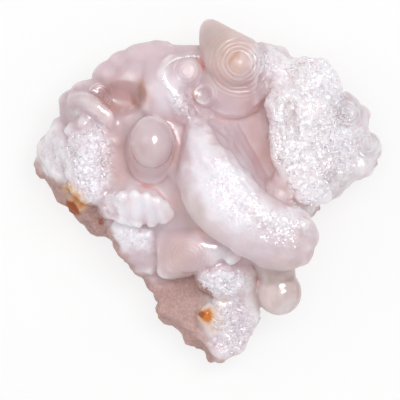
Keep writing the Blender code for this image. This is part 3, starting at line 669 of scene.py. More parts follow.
sugarPatches = {
    "leftBand": ((-29.6, 7.6), (6.2, 10.8), 0, 1),
    "leftEdge": ((-38, 8), (6.5, 9), 25, 0.55),
    "plateau": ((20.5, 13), (6.5, 17), 0, 1),
    "crown": ((26.5, 27.5), (9, 7.5), -35, 1),
    "shoulder": ((15.5, 32.5), (4.5, 4), 0, 0.6),
    "rightField": ((29.5, 12.5), (9, 12), 0, 1),
    "tip": ((38, 9.5), (7, 7.5), 0, 0.35),
    "lowLobe": ((26.2, 0.8), (5, 4.6), 0, 0.9),
    "armTop": ((6, -0.5), (5, 11), 38, 0.34),
    "armEnd": ((17, -7.8), (8, 4.8), -18, 0.45),
    "lowSugar": ((4.4, -22.5), (7, 3.8), 0, 1),
    "footBlock": ((6, -34), (7, 10), 15, 0.75),
    "crestSide": ((-5.6, 21.5), (3.2, 5), 25, 0.6),
    "lowSlab": ((-18.5, -11.5), (6, 3.8), -20, 0.6),
    "tongueLeft": ((-24, -3), (3.4, 4.2), 0, 0.6),
}
# Where no crust grows, though its patches reach there.
plainPatches = {
    "creviceFoot": ((17.4, -0.6), (3.2, 3.6), 20, 1),
    "pinkLobe": ((18, 3), (1.8, 3.6), 10, 1),
    "crevice": ((12.6, 10), (3, 12), 18, 1),
}
satinPatches = {
    "armTop": ((5.2, 1), (7, 14.5), 36, 0.9),
    "armEnd": ((17.5, -8.5), (10, 7), -18, 1),
    "tongue": ((-18, -3), (9, 4.2), -8, 0.35),
    "shoulder": ((15, 32.5), (5.5, 4), -20, 0.8),
    "crestSide": ((-6, 22.5), (3.5, 5.5), 25, 0.7),
    "leftGrey": ((-37, 11), (5, 8), 25, 0.5),
    "footTop": ((6, -33), (6.5, 9.5), 15, 0.6),
    "lowSlab": ((-18.5, -11.5), (5.5, 4), -20, 0.6),
    "lowRight": ((36, 8), (7, 6), 0, 0.6),
    "blanket": ((-14, 33), (12, 5), 5, 0.3),
}
milkPatches = {
    "leftBand": ((-29, 7), (5, 9.5), 0, 0.9),
    "arm": ((4.8, -0.8), (8, 13), 38, 0.8),
    "armRoot": ((-1.6, 10), (3.4, 7), 10, 0.75),
    "leftSlab": ((-37.5, 9), (5.5, 9), 25, 0.65),
    "hookLobe": ((-30.5, 20.5), (4, 4), 0, 0.35),
    "fanTop": ((2.5, -16.5), (4.5, 3), -15, 0.6),
    "blockRight": ((10.5, -31), (3, 5), 10, 0.6),
    "shoulder": ((17, 32), (6.5, 4.5), -20, 0.7),
    "yellow": ((33.5, 7), (8, 5.5), 10, 0.9),
    "tip": ((39.5, 11.5), (5.5, 6.5), 0, 0.75),
    "shell": ((34.8, 19.5), (4.5, 5.5), 0, 0.65),
    "pinkLobe": ((18, 1.5), (2.6, 4), 0, 0.4),
    "armWhole": ((6, -4), (10.5, 16.5), 45, 0.5),
    "armEnd": ((16, -5.5), (10.5, 5), -20, 0.65),
    "plateau": ((22, 14), (7.5, 18), 0, 0.95),
    "crown": ((27, 26.5), (9, 8.5), -30, 1),
    "rightField": ((30.5, 11), (10, 12), 0, 0.9),
    "lowLobe": ((26.2, 0.8), (5, 4.8), 0, 1),
    "tongue": ((-18, -3), (9, 4.2), -8, 0.75),
    "drip": ((-10, 25.5), (4.5, 6), 0, 0.6),
    "innerDome": ((-5, 30), (4.2, 4), 0, 0.15),
    "lowSugar": ((4.4, -22.8), (6.4, 3), 0, 0.9),
    "footBlock": ((5, -33.5), (6, 9.5), 15, 0.6),
    "lowSlab": ((-20.5, -10.5), (6.5, 4), -25, 0.95),
    # painted glow low on the small ball, where light comes through it
    "smallBallGlow": ((19.8, -29), (3.8, 1.3), 30, 0.6),
}
clearPatches = {
    "smallBall": ((18.1, -25.4), (6.2, 6.2), 0, 1),
    "ball": ((-13.9, 11.4), (6.2, 8), 0, 0.5),
    "hook": ((-33.5, 22), (4.5, 5), 0, 0.4),
    "hookTop": ((-28, 25.5), (5, 3.4), 0, 0.35),
    "shellBlob": ((35, 20.5), (4, 4), 0, 0.35),
    "tip": ((40.5, 11.5), (4, 5), 0, 0.3),
    "horn": ((1.5, 38.5), (3.5, 4.5), 0, 0.4),
    "armEdge": ((-3.5, -3), (2.5, 6), 20, 0.25),
}
pinkPatches = {
    "bed": ((-22, 8.5), (5, 8.8), 0, 1),
    "crevice": ((13.5, 13.5), (3.6, 12.5), 18, 1),
    "creviceLow": ((17.5, 0), (3, 4), 20, 0.8),
    "channel": ((-7, 4), (2.8, 14), 0, 0.3),
    "channelLow": ((2, -11.5), (11, 3), -30, 0.2),
    "pit": ((-22, 24), (7, 5.5), 0, 0.8),
    "snail": ((6.5, 30.5), (8.5, 9.5), 0, 0.3),
    "pinkLobe": ((17.6, 2), (2.6, 3.4), 0, 0.5),
    "fan": ((-5, -15.5), (7.5, 5.5), 0, 0.35),
}
amberPatches = {
    "globuleHigh": ((-34.9, 1), (1.5, 1.5), 0, 0.6),
    "globuleMid": ((-33.1, -1.3), (2, 1.9), 0, 0.7),
    "globuleLow": ((-32.1, -3.3), (1.7, 1.5), 0, 0.75),
    "footSpot": ((-0.4, -31.4), (1.7, 2.1), 0, 1),
    "footStain": ((0.9, -32.8), (3, 3.2), 0, 0.3),
}
rustPatches = {
    "streak": ((-34.2, -4.2), (2.6, 1.2), -50, 1),
    "streakLow": ((-33, -5), (1.6, 0.4), -10, 0.6),
    "brownSpot": ((-27.1, -7.5), (1.2, 1.2), 0, 0.7),
    "footCore": ((-1.4, -30.9), (0.9, 0.8), 0, 1),
}
# Thin brown crescents and a faint yellow stain.
tanPatches = {
    "eyeSide": ((6.4, 33.4), (2, 0.8), 50, 1),
    "eyeCore": ((7.8, 32.1), (1.8, 1.8), 0, 0.4),
    "pitSide": ((-16.3, 25.4), (1.1, 2.8), 10, 1),
    "pitRidge": ((-18.4, 22.6), (0.7, 2), 20, 0.7),
    "pitLow": ((-24, 21.8), (2.6, 0.8), -25, 0.5),
    "cupSide": ((-3.2, 24.3), (0.6, 1.8), 0, 0.9),
    "yellow": ((32, 6.5), (5.5, 3.5), 10, 0.12),
}
warmPatches = {
    "snail": ((4.5, 35), (6.5, 8.5), 20, 1),
    "smallBall": ((18.1, -25.4), (7, 7), 0, 1),
    "crown": ((22.5, 28.5), (3, 5.5), -20, 0.8),
    "rightMass": ((22.5, 14), (7, 19), 0, 0.7),
    "lip": ((17, 14), (1.6, 16), 0, 0.5),
    "fan": ((-8, -16.5), (4.5, 5), 0, 0.5),
    "armEdge": ((-3.5, -5.5), (3, 7.5), 35, 0.6),
    "footTop": ((2, -27.5), (5, 2.5), -20, 0.5),
}
greyPatches = {
    "leftEdge": ((-40, 10.5), (5, 7), 25, 0.7),
    "greySpot": ((-30.4, -9), (1.3, 1.3), 0, 0.8),
    "flatUnderside": ((33, 2), (5.5, 3.5), 15, 0.7),
}
# Each finish's patches, how far their edges wander, how soft they are, and the seed of the wander.
finishes = {
    "sugar": (sugarPatches, 0.3, 0.6, 1),
    "plain": (plainPatches, 0.1, 0.3, 1.2),
    "satin": (satinPatches, 0.3, 0.6, 1.5),
    "milk": (milkPatches, 0.3, 0.6, 2),
    "clear": (clearPatches, 0.1, 0.5, 3),
    "pink": (pinkPatches, 0.3, 0.6, 4),
    "amber": (amberPatches, 0.3, 0.8, 6),
    "tan": (tanPatches, 0.3, 0.6, 6.5),
    "shine": (shinePatches, 0.1, 0.3, 10),
    "rust": (rustPatches, 0.25, 0.4, 7),
    "warm": (warmPatches, 0.3, 0.6, 7.5),
    "grey": (greyPatches, 0.3, 0.6, 8),
}
wanderSize = 3.5

# Where relief and finishes fade in: heights in mm, or how far the skin is turned up.
fades = {"grown": (6, 14), "lines": (6, 10), "linesTurn": (-0.2, 0.3), "relief": (0.5, 2), "grains": (8, 12)}
amberTop = 30


def patchShare(points, finish):
    # the strongest of the finish's patches at each point, with edges that wander
    patches, wander, softness, seed = finishes[finish]
    drift = fractalAt(points, wanderSize, 3, seed) * wander
    share = np.zeros(len(points))
    for (x, y), (halfX, halfY), turn, strength in patches.values():
        c, s = math.cos(math.radians(turn)), math.sin(math.radians(turn))
        dx, dy = points[:, 0] - x, points[:, 1] - y
        away = np.hypot((dx * c + dy * s) / halfX, (dy * c - dx * s) / halfY) + drift
        share = np.maximum(share, strength * (1.0 - ramp(away, 1.0 - softness, 1.0 + softness)))
    return share
# Seen from above, what lies inside this line is grown, and the rest is the broken side.
grownEdge = (
    (-45, 9.5), (-41.5, 4.5), (-37.4, 2.9), (-30.9, -0.6), (-27.8, -2.9), (-25.1, -7.3), (-22.6, -11.3),
    (-22.4, -14.8), (-16.9, -20.5), (-13.4, -22.8), (-8.9, -22), (-6.4, -20.5), (-2.6, -20.8),
    (-1.1, -23.8), (2, -25.2), (-0.6, -27), (-2.1, -30.8), (-1.6, -35.3), (0, -38.1), (1.9, -42), (3, -46),
    (50, -46), (50, 46), (-50, 46),
)
# How far that line wanders and how finely, and the heights below which the side is broken all round.
brokenSide = {
    "wander": 0.8, "wanderSize": 2, "low": (9, 13), "lowWander": 2.6, "lowWanderSize": 2.4,
    "highest": 26, "fade": 3,
}


def insideLine(points, line):
    # 1 inside the closed line, seen from above, and 0 outside
    inside = np.zeros(len(points), bool)
    for (ax, ay), (bx, by) in zip(line, line[1:] + line[:1]):
        crossed = (ay > points[:, 1]) != (by > points[:, 1])
        if ay != by:
            inside ^= crossed & (points[:, 0] < (bx - ax) * (points[:, 1] - ay) / (by - ay) + ax)
    return inside.astype(float)


def eased(mesh, values, rounds):
    # values averaged with their neighbours' along the edges
    ends = np.empty(len(mesh.edges) * 2, np.int32)
    mesh.edges.foreach_get("vertices", ends)
    a, b = ends.reshape(-1, 2).T
    count = len(mesh.vertices)
    links = np.bincount(a, minlength=count) + np.bincount(b, minlength=count)
    for _ in range(rounds):
        total = np.bincount(a, values[b], count) + np.bincount(b, values[a], count)
        values = 0.5 * values + 0.5 * total / np.maximum(links, 1)
    return values


def standsOut(mesh, points, normals, rounds):
    # how far each point stands out from the skin round it, in mm
    around = np.stack([eased(mesh, points[:, axis], rounds) for axis in range(3)], 1)
    return np.sum((points - around) * normals, 1)


def brokenShare(mesh, points):
    side = brokenSide
    drift = fractalAt(points, side["wanderSize"], 3, 9.0)[:, None] * side["wander"]
    outside = eased(mesh, 1.0 - insideLine(points + drift, grownEdge), 2)
    drift = fractalAt(points, side["lowWanderSize"], 3, 9.5) * side["lowWander"]
    low = 1.0 - ramp(points[:, 2] + drift, *side["low"])
    return np.maximum(low, outside) * ramp(side["highest"] - points[:, 2], 0.0, side["fade"])


def growthLines(points, normals):
    # how far the fine ridges and lines lift each point
    lift = np.zeros(len(points))
    up = ramp(normals[:, 2], *fades["linesTurn"]) * ramp(points[:, 2], *fades["lines"])
    for (x, y), (halfX, halfY), height, width in ridgeLines.values():
        away = np.hypot((points[:, 0] - x) / halfX, (points[:, 1] - y) / halfY)
        gap = (away - 1.0) * 0.5 * (halfX + halfY) / width
        lift += height * np.exp(-gap * gap)
    near = np.full(len(points), 99.0)
    line = [Vector(place) for place in flankLines["path"]]
    for start, end in zip(line, line[1:]):
        dx, dy = end - start
        along = ((points[:, 0] - start.x) * dx + (points[:, 1] - start.y) * dy) / (dx * dx + dy * dy)
        along = np.clip(along, 0.0, 1.0)
        gap = np.hypot(points[:, 0] - start.x - along * dx, points[:, 1] - start.y - along * dy)
        near = np.minimum(near, gap)
    reach = flankLines["reach"]
    shown = 1.0 - ramp(near, reach * flankLines["fade"], reach)
    wander = flankLines["wander"] * fractalAt(points, flankLines["wanderSize"], 2, 5.0)
    lift += flankLines["height"] * np.cos(2 * math.pi * (near + wander) / flankLines["spacing"]) * shown
    return lift * up


# Relief of the crust in mm: size and height of its crystals at two sizes, how far their faces are raised and
# leaning, its lumps, and the sugar share from which its faces stay flat.
crustRelief = {
    "crystals": ((1.6, 0.38), (0.85, 0.28)), "raised": 0.35, "leaning": 0.9,
    "lumpSize": 3.4, "lumpHeight": 0.65, "from": 0.02, "flatFrom": 0.55,
}


def crystalFaces(points, size):
    # one crystal face to a cell, each leaning its own way
    lift = np.empty(len(points))
    for i, p in enumerate(points.tolist()):
        at = Vector(p) / size
        seed = noise.voronoi(at)[1][0]
        draw = seed.dot((12.99, 78.23, 37.72))
        chance = [math.modf(math.sin(draw + 5.1 * k) * 4375.85)[0] for k in range(4)]
        lift[i] = crustRelief["raised"] * chance[3] + crustRelief["leaning"] * (at - seed).dot(chance[:3])
    return lift


def sugarLift(points, sugar):
    lift = np.zeros(len(points))
    sugary = sugar > crustRelief["from"]
    for i, (size, height) in enumerate(crustRelief["crystals"]):
        lift[sugary] += height * crystalFaces(points[sugary] + 40.0 * i, size)
    lumps = crustRelief["lumpHeight"] * fractalAt(points[sugary], crustRelief["lumpSize"], 2, 20.0)
    lift[sugary] += lumps * sugar[sugary]
    return lift * sugar


# Rays that look for the sky from each point of the skin: how many, how far they reach, the gap that they
# start at, their seed, the turn between them, and rounds of easing of what they find.
skyRays = {"count": 14, "reach": 16, "gap": 0.08, "seed": 5, "turn": 2.39996, "easing": 5}


def occlusionShare(mesh, points, normals):
    # how much of the sky each point misses; the colour paints shade and a glow into clefts from it
    form = bmesh.new()
    form.from_mesh(mesh)
    tree = BVHTree.FromBMesh(form)
    form.free()
    rng = random.Random(skyRays["seed"])
    count, reach = skyRays["count"], skyRays["reach"]
    sky = []
    for i in range(count):
        turn, out = i * skyRays["turn"] + rng.random(), math.sqrt((i + 0.5) / count)
        up = math.sqrt(max(0.0, 1.0 - out * out))
        sky.append(Vector((out * math.cos(turn), out * math.sin(turn), up)))
    missed = np.zeros(len(points))
    for i, (p, n) in enumerate(zip(points.tolist(), normals.tolist())):
        normal = Vector(n)
        start = Vector(p) + normal * skyRays["gap"]
        turned = normal.to_track_quat("Z", "Y")
        hits = 0.0
        for ray in sky:
            found = tree.ray_cast(start, turned @ ray, reach)
            if found[0] is not None:
                hits += 1.0 - 0.5 * found[3] / reach
        missed[i] = hits / count
    return eased(mesh, missed, skyRays["easing"])


def giveValues(mesh, name, values):
    layer = mesh.attributes.new(name, "FLOAT", "POINT")
    layer.data.foreach_set("value", np.clip(values, 0.0, 1.0).astype(np.float32))


stoneMesh = fusedSkin()
points, normals = skinOf(stoneMesh)
above = ramp(points[:, 2], *fades["grown"])
sugar = patchShare(points, "sugar") * above
sugar *= 1.0 - patchShare(points, "plain")
setPoints(stoneMesh, points + normals * growthLines(points, normals)[:, None])
points, normals = skinOf(stoneMesh)
lift = sugarLift(points, sugar) * ramp(points[:, 2], *fades["relief"])
setPoints(stoneMesh, points + normals * lift[:, None])
print("growth lines and crust raised")

# What the skin's finish follows: rounds of easing that its crests and broad edges stand out from, their gain
# and the easing of the edges.
crests = {"rounds": 4, "gain": 6, "edgeRounds": 12, "edgeGain": 0.8, "edgeEasing": 2}
points, normals = skinOf(stoneMesh)
shares = {name: patchShare(points, name) for name in finishes if name not in ("sugar", "plain")}
shares["sugar"] = sugar
shares["satin"] *= above
shares["amber"] *= points[:, 2] < amberTop
# the sky each point misses, for the painted shade and glow of clefts
shares["occlusion"] = occlusionShare(stoneMesh, points, normals)
# crests stand out here; the colour paints them lighter in the sugar
shares["crest"] = 0.5 + standsOut(stoneMesh, points, normals, crests["rounds"]) * crests["gain"]
# broad edges, which the colour paints with a glow of light
edges = eased(stoneMesh, standsOut(stoneMesh, points, normals, crests["edgeRounds"]), crests["edgeEasing"])
shares["edge"] = 0.5 + edges * crests["edgeGain"]
shares["broken"] = brokenShare(stoneMesh, points)
for name, values in shares.items():
    giveValues(stoneMesh, name, values)
print("finishes placed")


class Wire:
    # one socket of a node tree, so that sums on it read as sums
    def __init__(self, book, socket):
        self.book, self.socket = book, socket

    def sum(self, operation, *others):
        return self.book.node("ShaderNodeMath", {"operation": operation}, dict(enumerate(others)))

    def __add__(self, other): return self.sum("ADD", self, other)
    def __radd__(self, other): return self.sum("ADD", other, self)
    def __sub__(self, other): return self.sum("SUBTRACT", self, other)
    def __rsub__(self, other): return self.sum("SUBTRACT", other, self)
    def __mul__(self, other): return self.sum("MULTIPLY", self, other)
    def __rmul__(self, other): return self.sum("MULTIPLY", other, self)
    def __truediv__(self, other): return self.sum("DIVIDE", self, other)
    def __rtruediv__(self, other): return self.sum("DIVIDE", other, self)
    def __pow__(self, other): return self.sum("POWER", self, other)
    def clamp(self): return self.sum("MINIMUM", self.sum("MAXIMUM", self, 0.0), 1.0)


class Nodes:
    # a tree of nodes being built, with one way to add any node
    def node(self, kind, settings=None, inputs=None, output=0):
        made = self.tree.nodes.new(kind)
        for key, value in (settings or {}).items():
            setattr(made, key, value)
        for key, value in (inputs or {}).items():
            if isinstance(value, Wire):
                self.tree.links.new(value.socket, made.inputs[key])
            else:
                made.inputs[key].default_value = value
        return Wire(self, made.outputs[output]) if made.outputs else None


class Finish(Nodes):
    # a material being built
    def __init__(self, name):
        self.material = bpy.data.materials.new(name)
        self.material.use_nodes = True
        self.tree = self.material.node_tree
        self.tree.nodes.clear()
        self.place = self.node("ShaderNodeTexCoord", output="Object")

    def close(self, surface):
        self.node("ShaderNodeOutputMaterial", {}, {"Surface": surface})
        return self.material

    def value(self, name):
        return self.node("ShaderNodeAttribute", {"attribute_name": name}, output="Fac")

    def blend(self, share, first, second):
        settings = {"data_type": "RGBA", "clamp_factor": True}
        return self.node("ShaderNodeMix", settings, {0: share, 6: first, 7: second}, 2)

    def grain(self, scale, detail=3, roughness=0.55, shift=0):
        return self.node("ShaderNodeTexNoise", {"noise_dimensions": "4D"}, {
            "Vector": self.place, "W": shift, "Scale": scale, "Detail": detail, "Roughness": roughness,
        })

    def cells(self, scale, output="Distance"):
        inputs = {"Vector": self.place, "Scale": scale}
        return self.node("ShaderNodeTexVoronoi", {"feature": "F1"}, inputs, output)

    def band(self, value, low, high):
        return self.node("ShaderNodeMapRange", {"interpolation_type": "SMOOTHSTEP"}, {
            "Value": value, "From Min": low, "From Max": high,
        })

    def vector(self, operation, inputs):
        return self.node("ShaderNodeVectorMath", {"operation": operation}, inputs)

    def bump(self, strength, distance, height, **more):
        inputs = {"Strength": strength, "Distance": distance, "Height": height, **more}
        return self.node("ShaderNodeBump", {}, inputs)

    def shader(self, fixed, varying):
        return self.node("ShaderNodeBsdfPrincipled", {}, {**fixed, **varying})

    def layer(self, share, under, over):
        return self.node("ShaderNodeMixShader", {}, {0: share.clamp(), 1: under, 2: over})


# The clear little crystals and beads: their two colours, the grain of their tint and wear, and their gloss.
crystalLook = {
    "clear": (0.90, 0.86, 0.90, 1.0), "white": (0.88, 0.845, 0.90, 1.0),
    "tint": (900, 3), "wear": (1500, 2, 0.55, 2), "roughness": (0.12, 0.18),
    "surface": {"IOR": 1.54, "Coat Weight": 0.5, "Coat Roughness": 0.04, "Coat IOR": 1.5},
}


def crystalFinish(name):
    look = crystalLook
    make = Finish(name)
    least, more = look["roughness"]
    return make.close(make.shader(look["surface"], {
        "Base Color": make.blend(make.grain(*look["tint"]), look["clear"], look["white"]),
        "Roughness": least + more * make.grain(*look["wear"]),
    }))


# How the growth rings wander, and how softly the first and the last of them fade.
ringLook = {"wanderGrain": (260, 2, 0.55, 9), "wander": 0.9, "first": 0.08, "last": 0.15}


def ringHeight(make):
    # the growth rings as thin raised lines round their centres
    look = ringLook
    x = make.node("ShaderNodeSeparateXYZ", {}, {"Vector": make.place}, "X")
    y = make.node("ShaderNodeSeparateXYZ", {}, {"Vector": make.place}, "Y")
    wander = (make.grain(*look["wanderGrain"]) - 0.5) * look["wander"]
    total = None
    for (centreX, centreY), (halfX, halfY), (first, last), spacing, strength in growthRings.values():
        dx, dy = x / mm - centreX, y / mm - centreY
        reach = (dx * dx + dy * dy) ** 0.5
        away = ((dx / halfX) * (dx / halfX) + (dy / halfY) * (dy / halfY)) ** 0.5
        turn = (reach + wander) * (2 * math.pi / spacing)
        thin = (0.5 + 0.5 * turn.sum("COSINE", turn)) ** 2.0
        begun = make.band(away, first - look["first"], first + look["first"])
        ended = make.band(away, last - look["last"], last + look["last"])
        line = thin * (begun * (1.0 - ended)) * strength
        total = line if total is None else total + line
    return total


# The stone's colours, among them painted glows and light for shaded clefts and broad edges, then the scale,
# detail, roughness and shift of its grains and the scale of its crystals, where each layer fades in, how much
# of each shows, and the fixed values of its four surfaces.
chalcedonyLook = {
    "pinkMilk": (0.65, 0.52, 0.56, 1.0),
    "warmMilk": (0.65, 0.515, 0.475, 1.0),
    "lavenderWhite": (0.88, 0.845, 0.90, 1.0),
    "creamWhite": (0.90, 0.85, 0.855, 1.0),
    # painted glow of light caught in shaded pink clefts
    "pinkShadeGlow": (0.92, 0.64, 0.62, 1.0),
    "rose": (0.60, 0.385, 0.38, 1.0),
    # painted glow of light caught in shaded clefts that are not pink
    "shadeGlow": (0.98, 0.80, 0.79, 1.0),
    "greyMilk": (0.70, 0.65, 0.66, 1.0),
    # painted light on the broad convex edges, a glow as if lit through them
    "rim": (0.96, 0.90, 0.89, 1.0),
    "brokenBrown": (0.39, 0.215, 0.19, 1.0),
    "brokenTan": (0.54, 0.35, 0.32, 1.0),
    "tan": (0.52, 0.29, 0.21, 1.0),
    "amberPale": (0.82, 0.60, 0.40, 1.0),
    "amber": (0.64, 0.20, 0.018, 1.0),
    "rust": (0.34, 0.08, 0.018, 1.0),

    "wide": (140, 4, 0.55), "fine": (620, 4, 0.6, 3), "speck": (2600, 2, 0.6, 5), "chips": (1300, 5, 0.7, 4),
    "crustCells": 1900, "coarseCells": 1400, "finerCells": 1900,

    # The span and shares of the cleft shade set where painted shade and glow come in, how much white they
    # take away, and how little of them shows in sugar.
    "shadeSpan": (0.34, 0.82), "rimGlowSpan": (0.6, 0.95), "chipSpan": (0.3, 0.7), "paleSpan": (0, 0.7),
    "amberSpan": (0.35, 0.9), "rustSpan": (0.2, 0.8),

    "drift": 0.12, "paintedCrestShading": 0.7, "cream": 0.7, "whiteInShade": 0.6, "pinkInWhite": 0.6,
    "shadeInSugar": 0.8, "pinkShare": 0.8, "glowShare": 0.8, "greyShare": 0.7, "rimGlowShare": 0.4,
    "tanShare": 0.8, "brokenShare": (0.75, 0.4), "chipDrift": 0.6, "paleEdge": 0.3, "amberEdge": 0.4,
    "rustEdge": 0.8, "speckShare": 0.08, "ringShare": 0.08, "coarseGlint": 0.24, "finerGlint": 0.08,

    "roughness": {"plain": 0.58, "shine": 0.36, "sugar": 0.15, "broken": 0.1, "fine": 0.1},
    "relief": {"satin": 0.7, "fine": 0.6, "crust": 0.5, "wide": 0.25, "chips": 1.6, "all": 0.15},
    "ringBump": (1.0, 0.00016), "skinBump": (0.55, 0.00022),
    "coat": (0.03, 0.9), "crystalLean": 0.8, "satinLean": 0.75,
    "inSugar": 0.75, "inSatin": 0.5, "inBroken": 0.7, "inClear": 0.55,

    "body": {
        "IOR": 1.54, "Coat Roughness": 0.09, "Coat IOR": 1.5,
        "Subsurface Weight": 0.85, "Subsurface Radius": (1.0, 0.66, 0.62), "Subsurface Scale": 0.008,
    },
    "crystals": {"Roughness": 0.15, "IOR": 1.65, "Coat Roughness": 0.08, "Coat IOR": 1.54},
    "rock": {"Roughness": 0.6},
    "glass": {
        "Base Color": (0.90, 0.82, 0.84, 1.0), "Roughness": 0.14, "IOR": 1.45, "Transmission Weight": 1.0,
    },
}


def stoneColour(make, rings, coarse, finer):
    look = chalcedonyLook
    wide, fine, speck, chips = (make.grain(*look[name]) for name in ("wide", "fine", "speck", "chips"))
    occlusion, crest, sugar, satin, milk = map(make.value, ("occlusion", "crest", "sugar", "satin", "milk"))
    warm, pink, broken, edge = map(make.value, ("warm", "pink", "broken", "edge"))
    grey, tan, amber, rust = map(make.value, ("grey", "tan", "amber", "rust"))
    drift = (wide - 0.5) * look["drift"]
    # painted shade from the sky each point misses: there the white fades and the painted glows below come in
    shadeMask = make.band(occlusion + drift, *look["shadeSpan"])
    # in the sugar, crests are painted whiter and hollows less white: painted light and shade
    white = make.band(milk + drift + (crest - 0.5) * look["paintedCrestShading"] * sugar, 0.0, 1.0)
    white = white * (1.0 - shadeMask * look["whiteInShade"])
    shaded = shadeMask * (1.0 - look["shadeInSugar"] * sugar)
    least, more = look["brokenShare"]
    chipped = make.band(chips + (wide - 0.5) * look["chipDrift"], *look["chipSpan"])
    snow = make.blend(warm * look["cream"], look["lavenderWhite"], look["creamWhite"])
    stone = make.blend(chipped, look["brokenBrown"], look["brokenTan"])
    colour = make.blend(warm, look["pinkMilk"], look["warmMilk"])
    for share, tint in (
        (white, snow),
        (pink * (1.0 - white * look["pinkInWhite"]) * look["pinkShare"], look["rose"]),
        # painted glow in shaded clefts: pale where the skin is not pink, salmon where it is
        (shaded * (1.0 - pink) * look["glowShare"], look["shadeGlow"]),
        (shaded * pink, look["pinkShadeGlow"]),
        (grey * look["greyShare"], look["greyMilk"]),
        # painted light on the broad convex edges
        (make.band(edge, *look["rimGlowSpan"]) * look["rimGlowShare"], look["rim"]),
        (broken * (least + more * fine), stone),
        (tan * look["tanShare"], look["tan"]),
        (make.band(amber + (fine - 0.5) * look["paleEdge"], *look["paleSpan"]), look["amberPale"]),
        (make.band(amber + (fine - 0.5) * look["amberEdge"], *look["amberSpan"]), look["amber"]),
        (make.band(rust + (fine - 0.5) * look["rustEdge"], *look["rustSpan"]), look["rust"]),
    ):
        colour = make.blend(share, colour, tint)
    # each crystal face painted a little lighter or darker, as if it caught the lamps or missed them: painted
    # sparkle, with real specks and growth rings
    faceGlints = (coarse - 0.5) * sugar * look["coarseGlint"] + (finer - 0.5) * satin * look["finerGlint"]
    toneAndGlints = 1.0 + (speck - 0.5) * look["speckShare"] + rings * look["ringShare"] + faceGlints
    return make.vector("SCALE", {0: colour, "Scale": toneAndGlints})


def chalcedonyFinish(name):
    look = chalcedonyLook
    make = Finish(name)
    rings = ringHeight(make)
    crust = make.cells(look["crustCells"])
    coarse, finer = (make.cells(look[name], "Color") for name in ("coarseCells", "finerCells"))
    wide, fine, chips = (make.grain(*look[name]) for name in ("wide", "fine", "chips"))
    sugar, satin, shine, broken, clear = map(make.value, ("sugar", "satin", "shine", "broken", "clear"))
    colour = stoneColour(make, rings, coarse, finer)

    gloss = look["roughness"]
    worn = gloss["plain"] - gloss["shine"] * shine - gloss["sugar"] * sugar + gloss["broken"] * broken
    worn = worn + (fine - 0.5) * gloss["fine"]
    relief = look["relief"]
    grains = relief["fine"] * fine + relief["crust"] * (1.0 - crust)
    height = (sugar + satin * relief["satin"]) * grains + relief["wide"] * wide
    height = height + broken * chips * relief["chips"] + relief["all"] * fine
    bump = make.bump(*look["skinBump"], height, Normal=make.bump(*look["ringBump"], rings))
    # each crystal face leans its own way, so a few of them flash; the satin's are finer
    sharp = bump
    for tilt, share in ((coarse, sugar * look["crystalLean"]), (finer, satin * look["satinLean"])):
        lean = make.vector("SUBTRACT", {0: tilt, 1: (0.5, 0.5, 0.5)})
        sharp = make.vector("ADD", {0: sharp, 1: make.vector("SCALE", {0: lean, "Scale": share})})
    sharp = make.vector("NORMALIZE", {0: sharp})

    least, more = look["coat"]
    coat = (least + more * shine) * (1.0 - sugar) * (1.0 - satin) * (1.0 - broken)
    body = make.shader(look["body"], {
        "Base Color": colour, "Roughness": worn.clamp(), "Normal": bump, "Coat Weight": coat.clamp(),
    })
    crystals = make.shader(look["crystals"], {
        "Base Color": colour, "Normal": sharp, "Coat Weight": (sugar * (1.0 - satin)).clamp(),
    })
    rock = make.shader(look["rock"], {"Base Color": colour, "Normal": bump})
    glass = make.shader(look["glass"], {"Normal": bump})
    crusted = make.layer(sugar * look["inSugar"] + satin * look["inSatin"], body, crystals)
    whole = make.layer(broken * look["inBroken"], crusted, rock)
    return make.close(make.layer(clear * look["inClear"], whole, glass))


class Tree(Nodes):
    # a Geometry Nodes tree that sets small pieces out, sized at random
    def __init__(self, name, amount):
        self.tree = bpy.data.node_groups.new(name, "GeometryNodeTree")
        face = self.tree.interface
        for label, kind in {
            "Geometry": "Geometry", amount: "Float", "Smallest": "Float", "Largest": "Float", "Seed": "Int",
            "Material": "Material",
        }.items():
            face.new_socket(label, in_out="INPUT", socket_type="NodeSocket" + kind)
        face.new_socket("Geometry", in_out="OUTPUT", socket_type="NodeSocketGeometry")
        given = self.tree.nodes.new("NodeGroupInput").outputs
        self.given = {socket.name: Wire(self, socket) for socket in given}

    def close(self, points, shape, **more):
        # the shape at every point, in the given material
        given = self.given
        size = self.node("FunctionNodeRandomValue", {"data_type": "FLOAT"}, {
            2: given["Smallest"], 3: given["Largest"], "Seed": given["Seed"],
        }, 1)
        placed = self.node("GeometryNodeInstanceOnPoints", {}, {
            "Points": points, "Instance": shape, "Scale": size, **more,
        })
        real = self.node("GeometryNodeRealizeInstances", {}, {"Geometry": placed})
        faced = self.node("GeometryNodeSetMaterial", {}, {"Geometry": real, "Material": given["Material"]})
        self.node("NodeGroupOutput", {}, {"Geometry": faced})
        return self

    def grow(self, mesh, name, values):
        # the plain mesh that the tree makes of the given one
        host = addObject(name, mesh)
        modifier = host.modifiers.new(name, "NODES")
        modifier.node_group = self.tree
        for item in self.tree.interface.items_tree:
            if item.item_type == "SOCKET" and item.in_out == "INPUT" and item.name in values:
                modifier[item.identifier] = values[item.name]
        graph = bpy.context.evaluated_depsgraph_get()
        made = bpy.data.meshes.new_from_object(host.evaluated_get(graph))
        bpy.data.objects.remove(host)
        return made


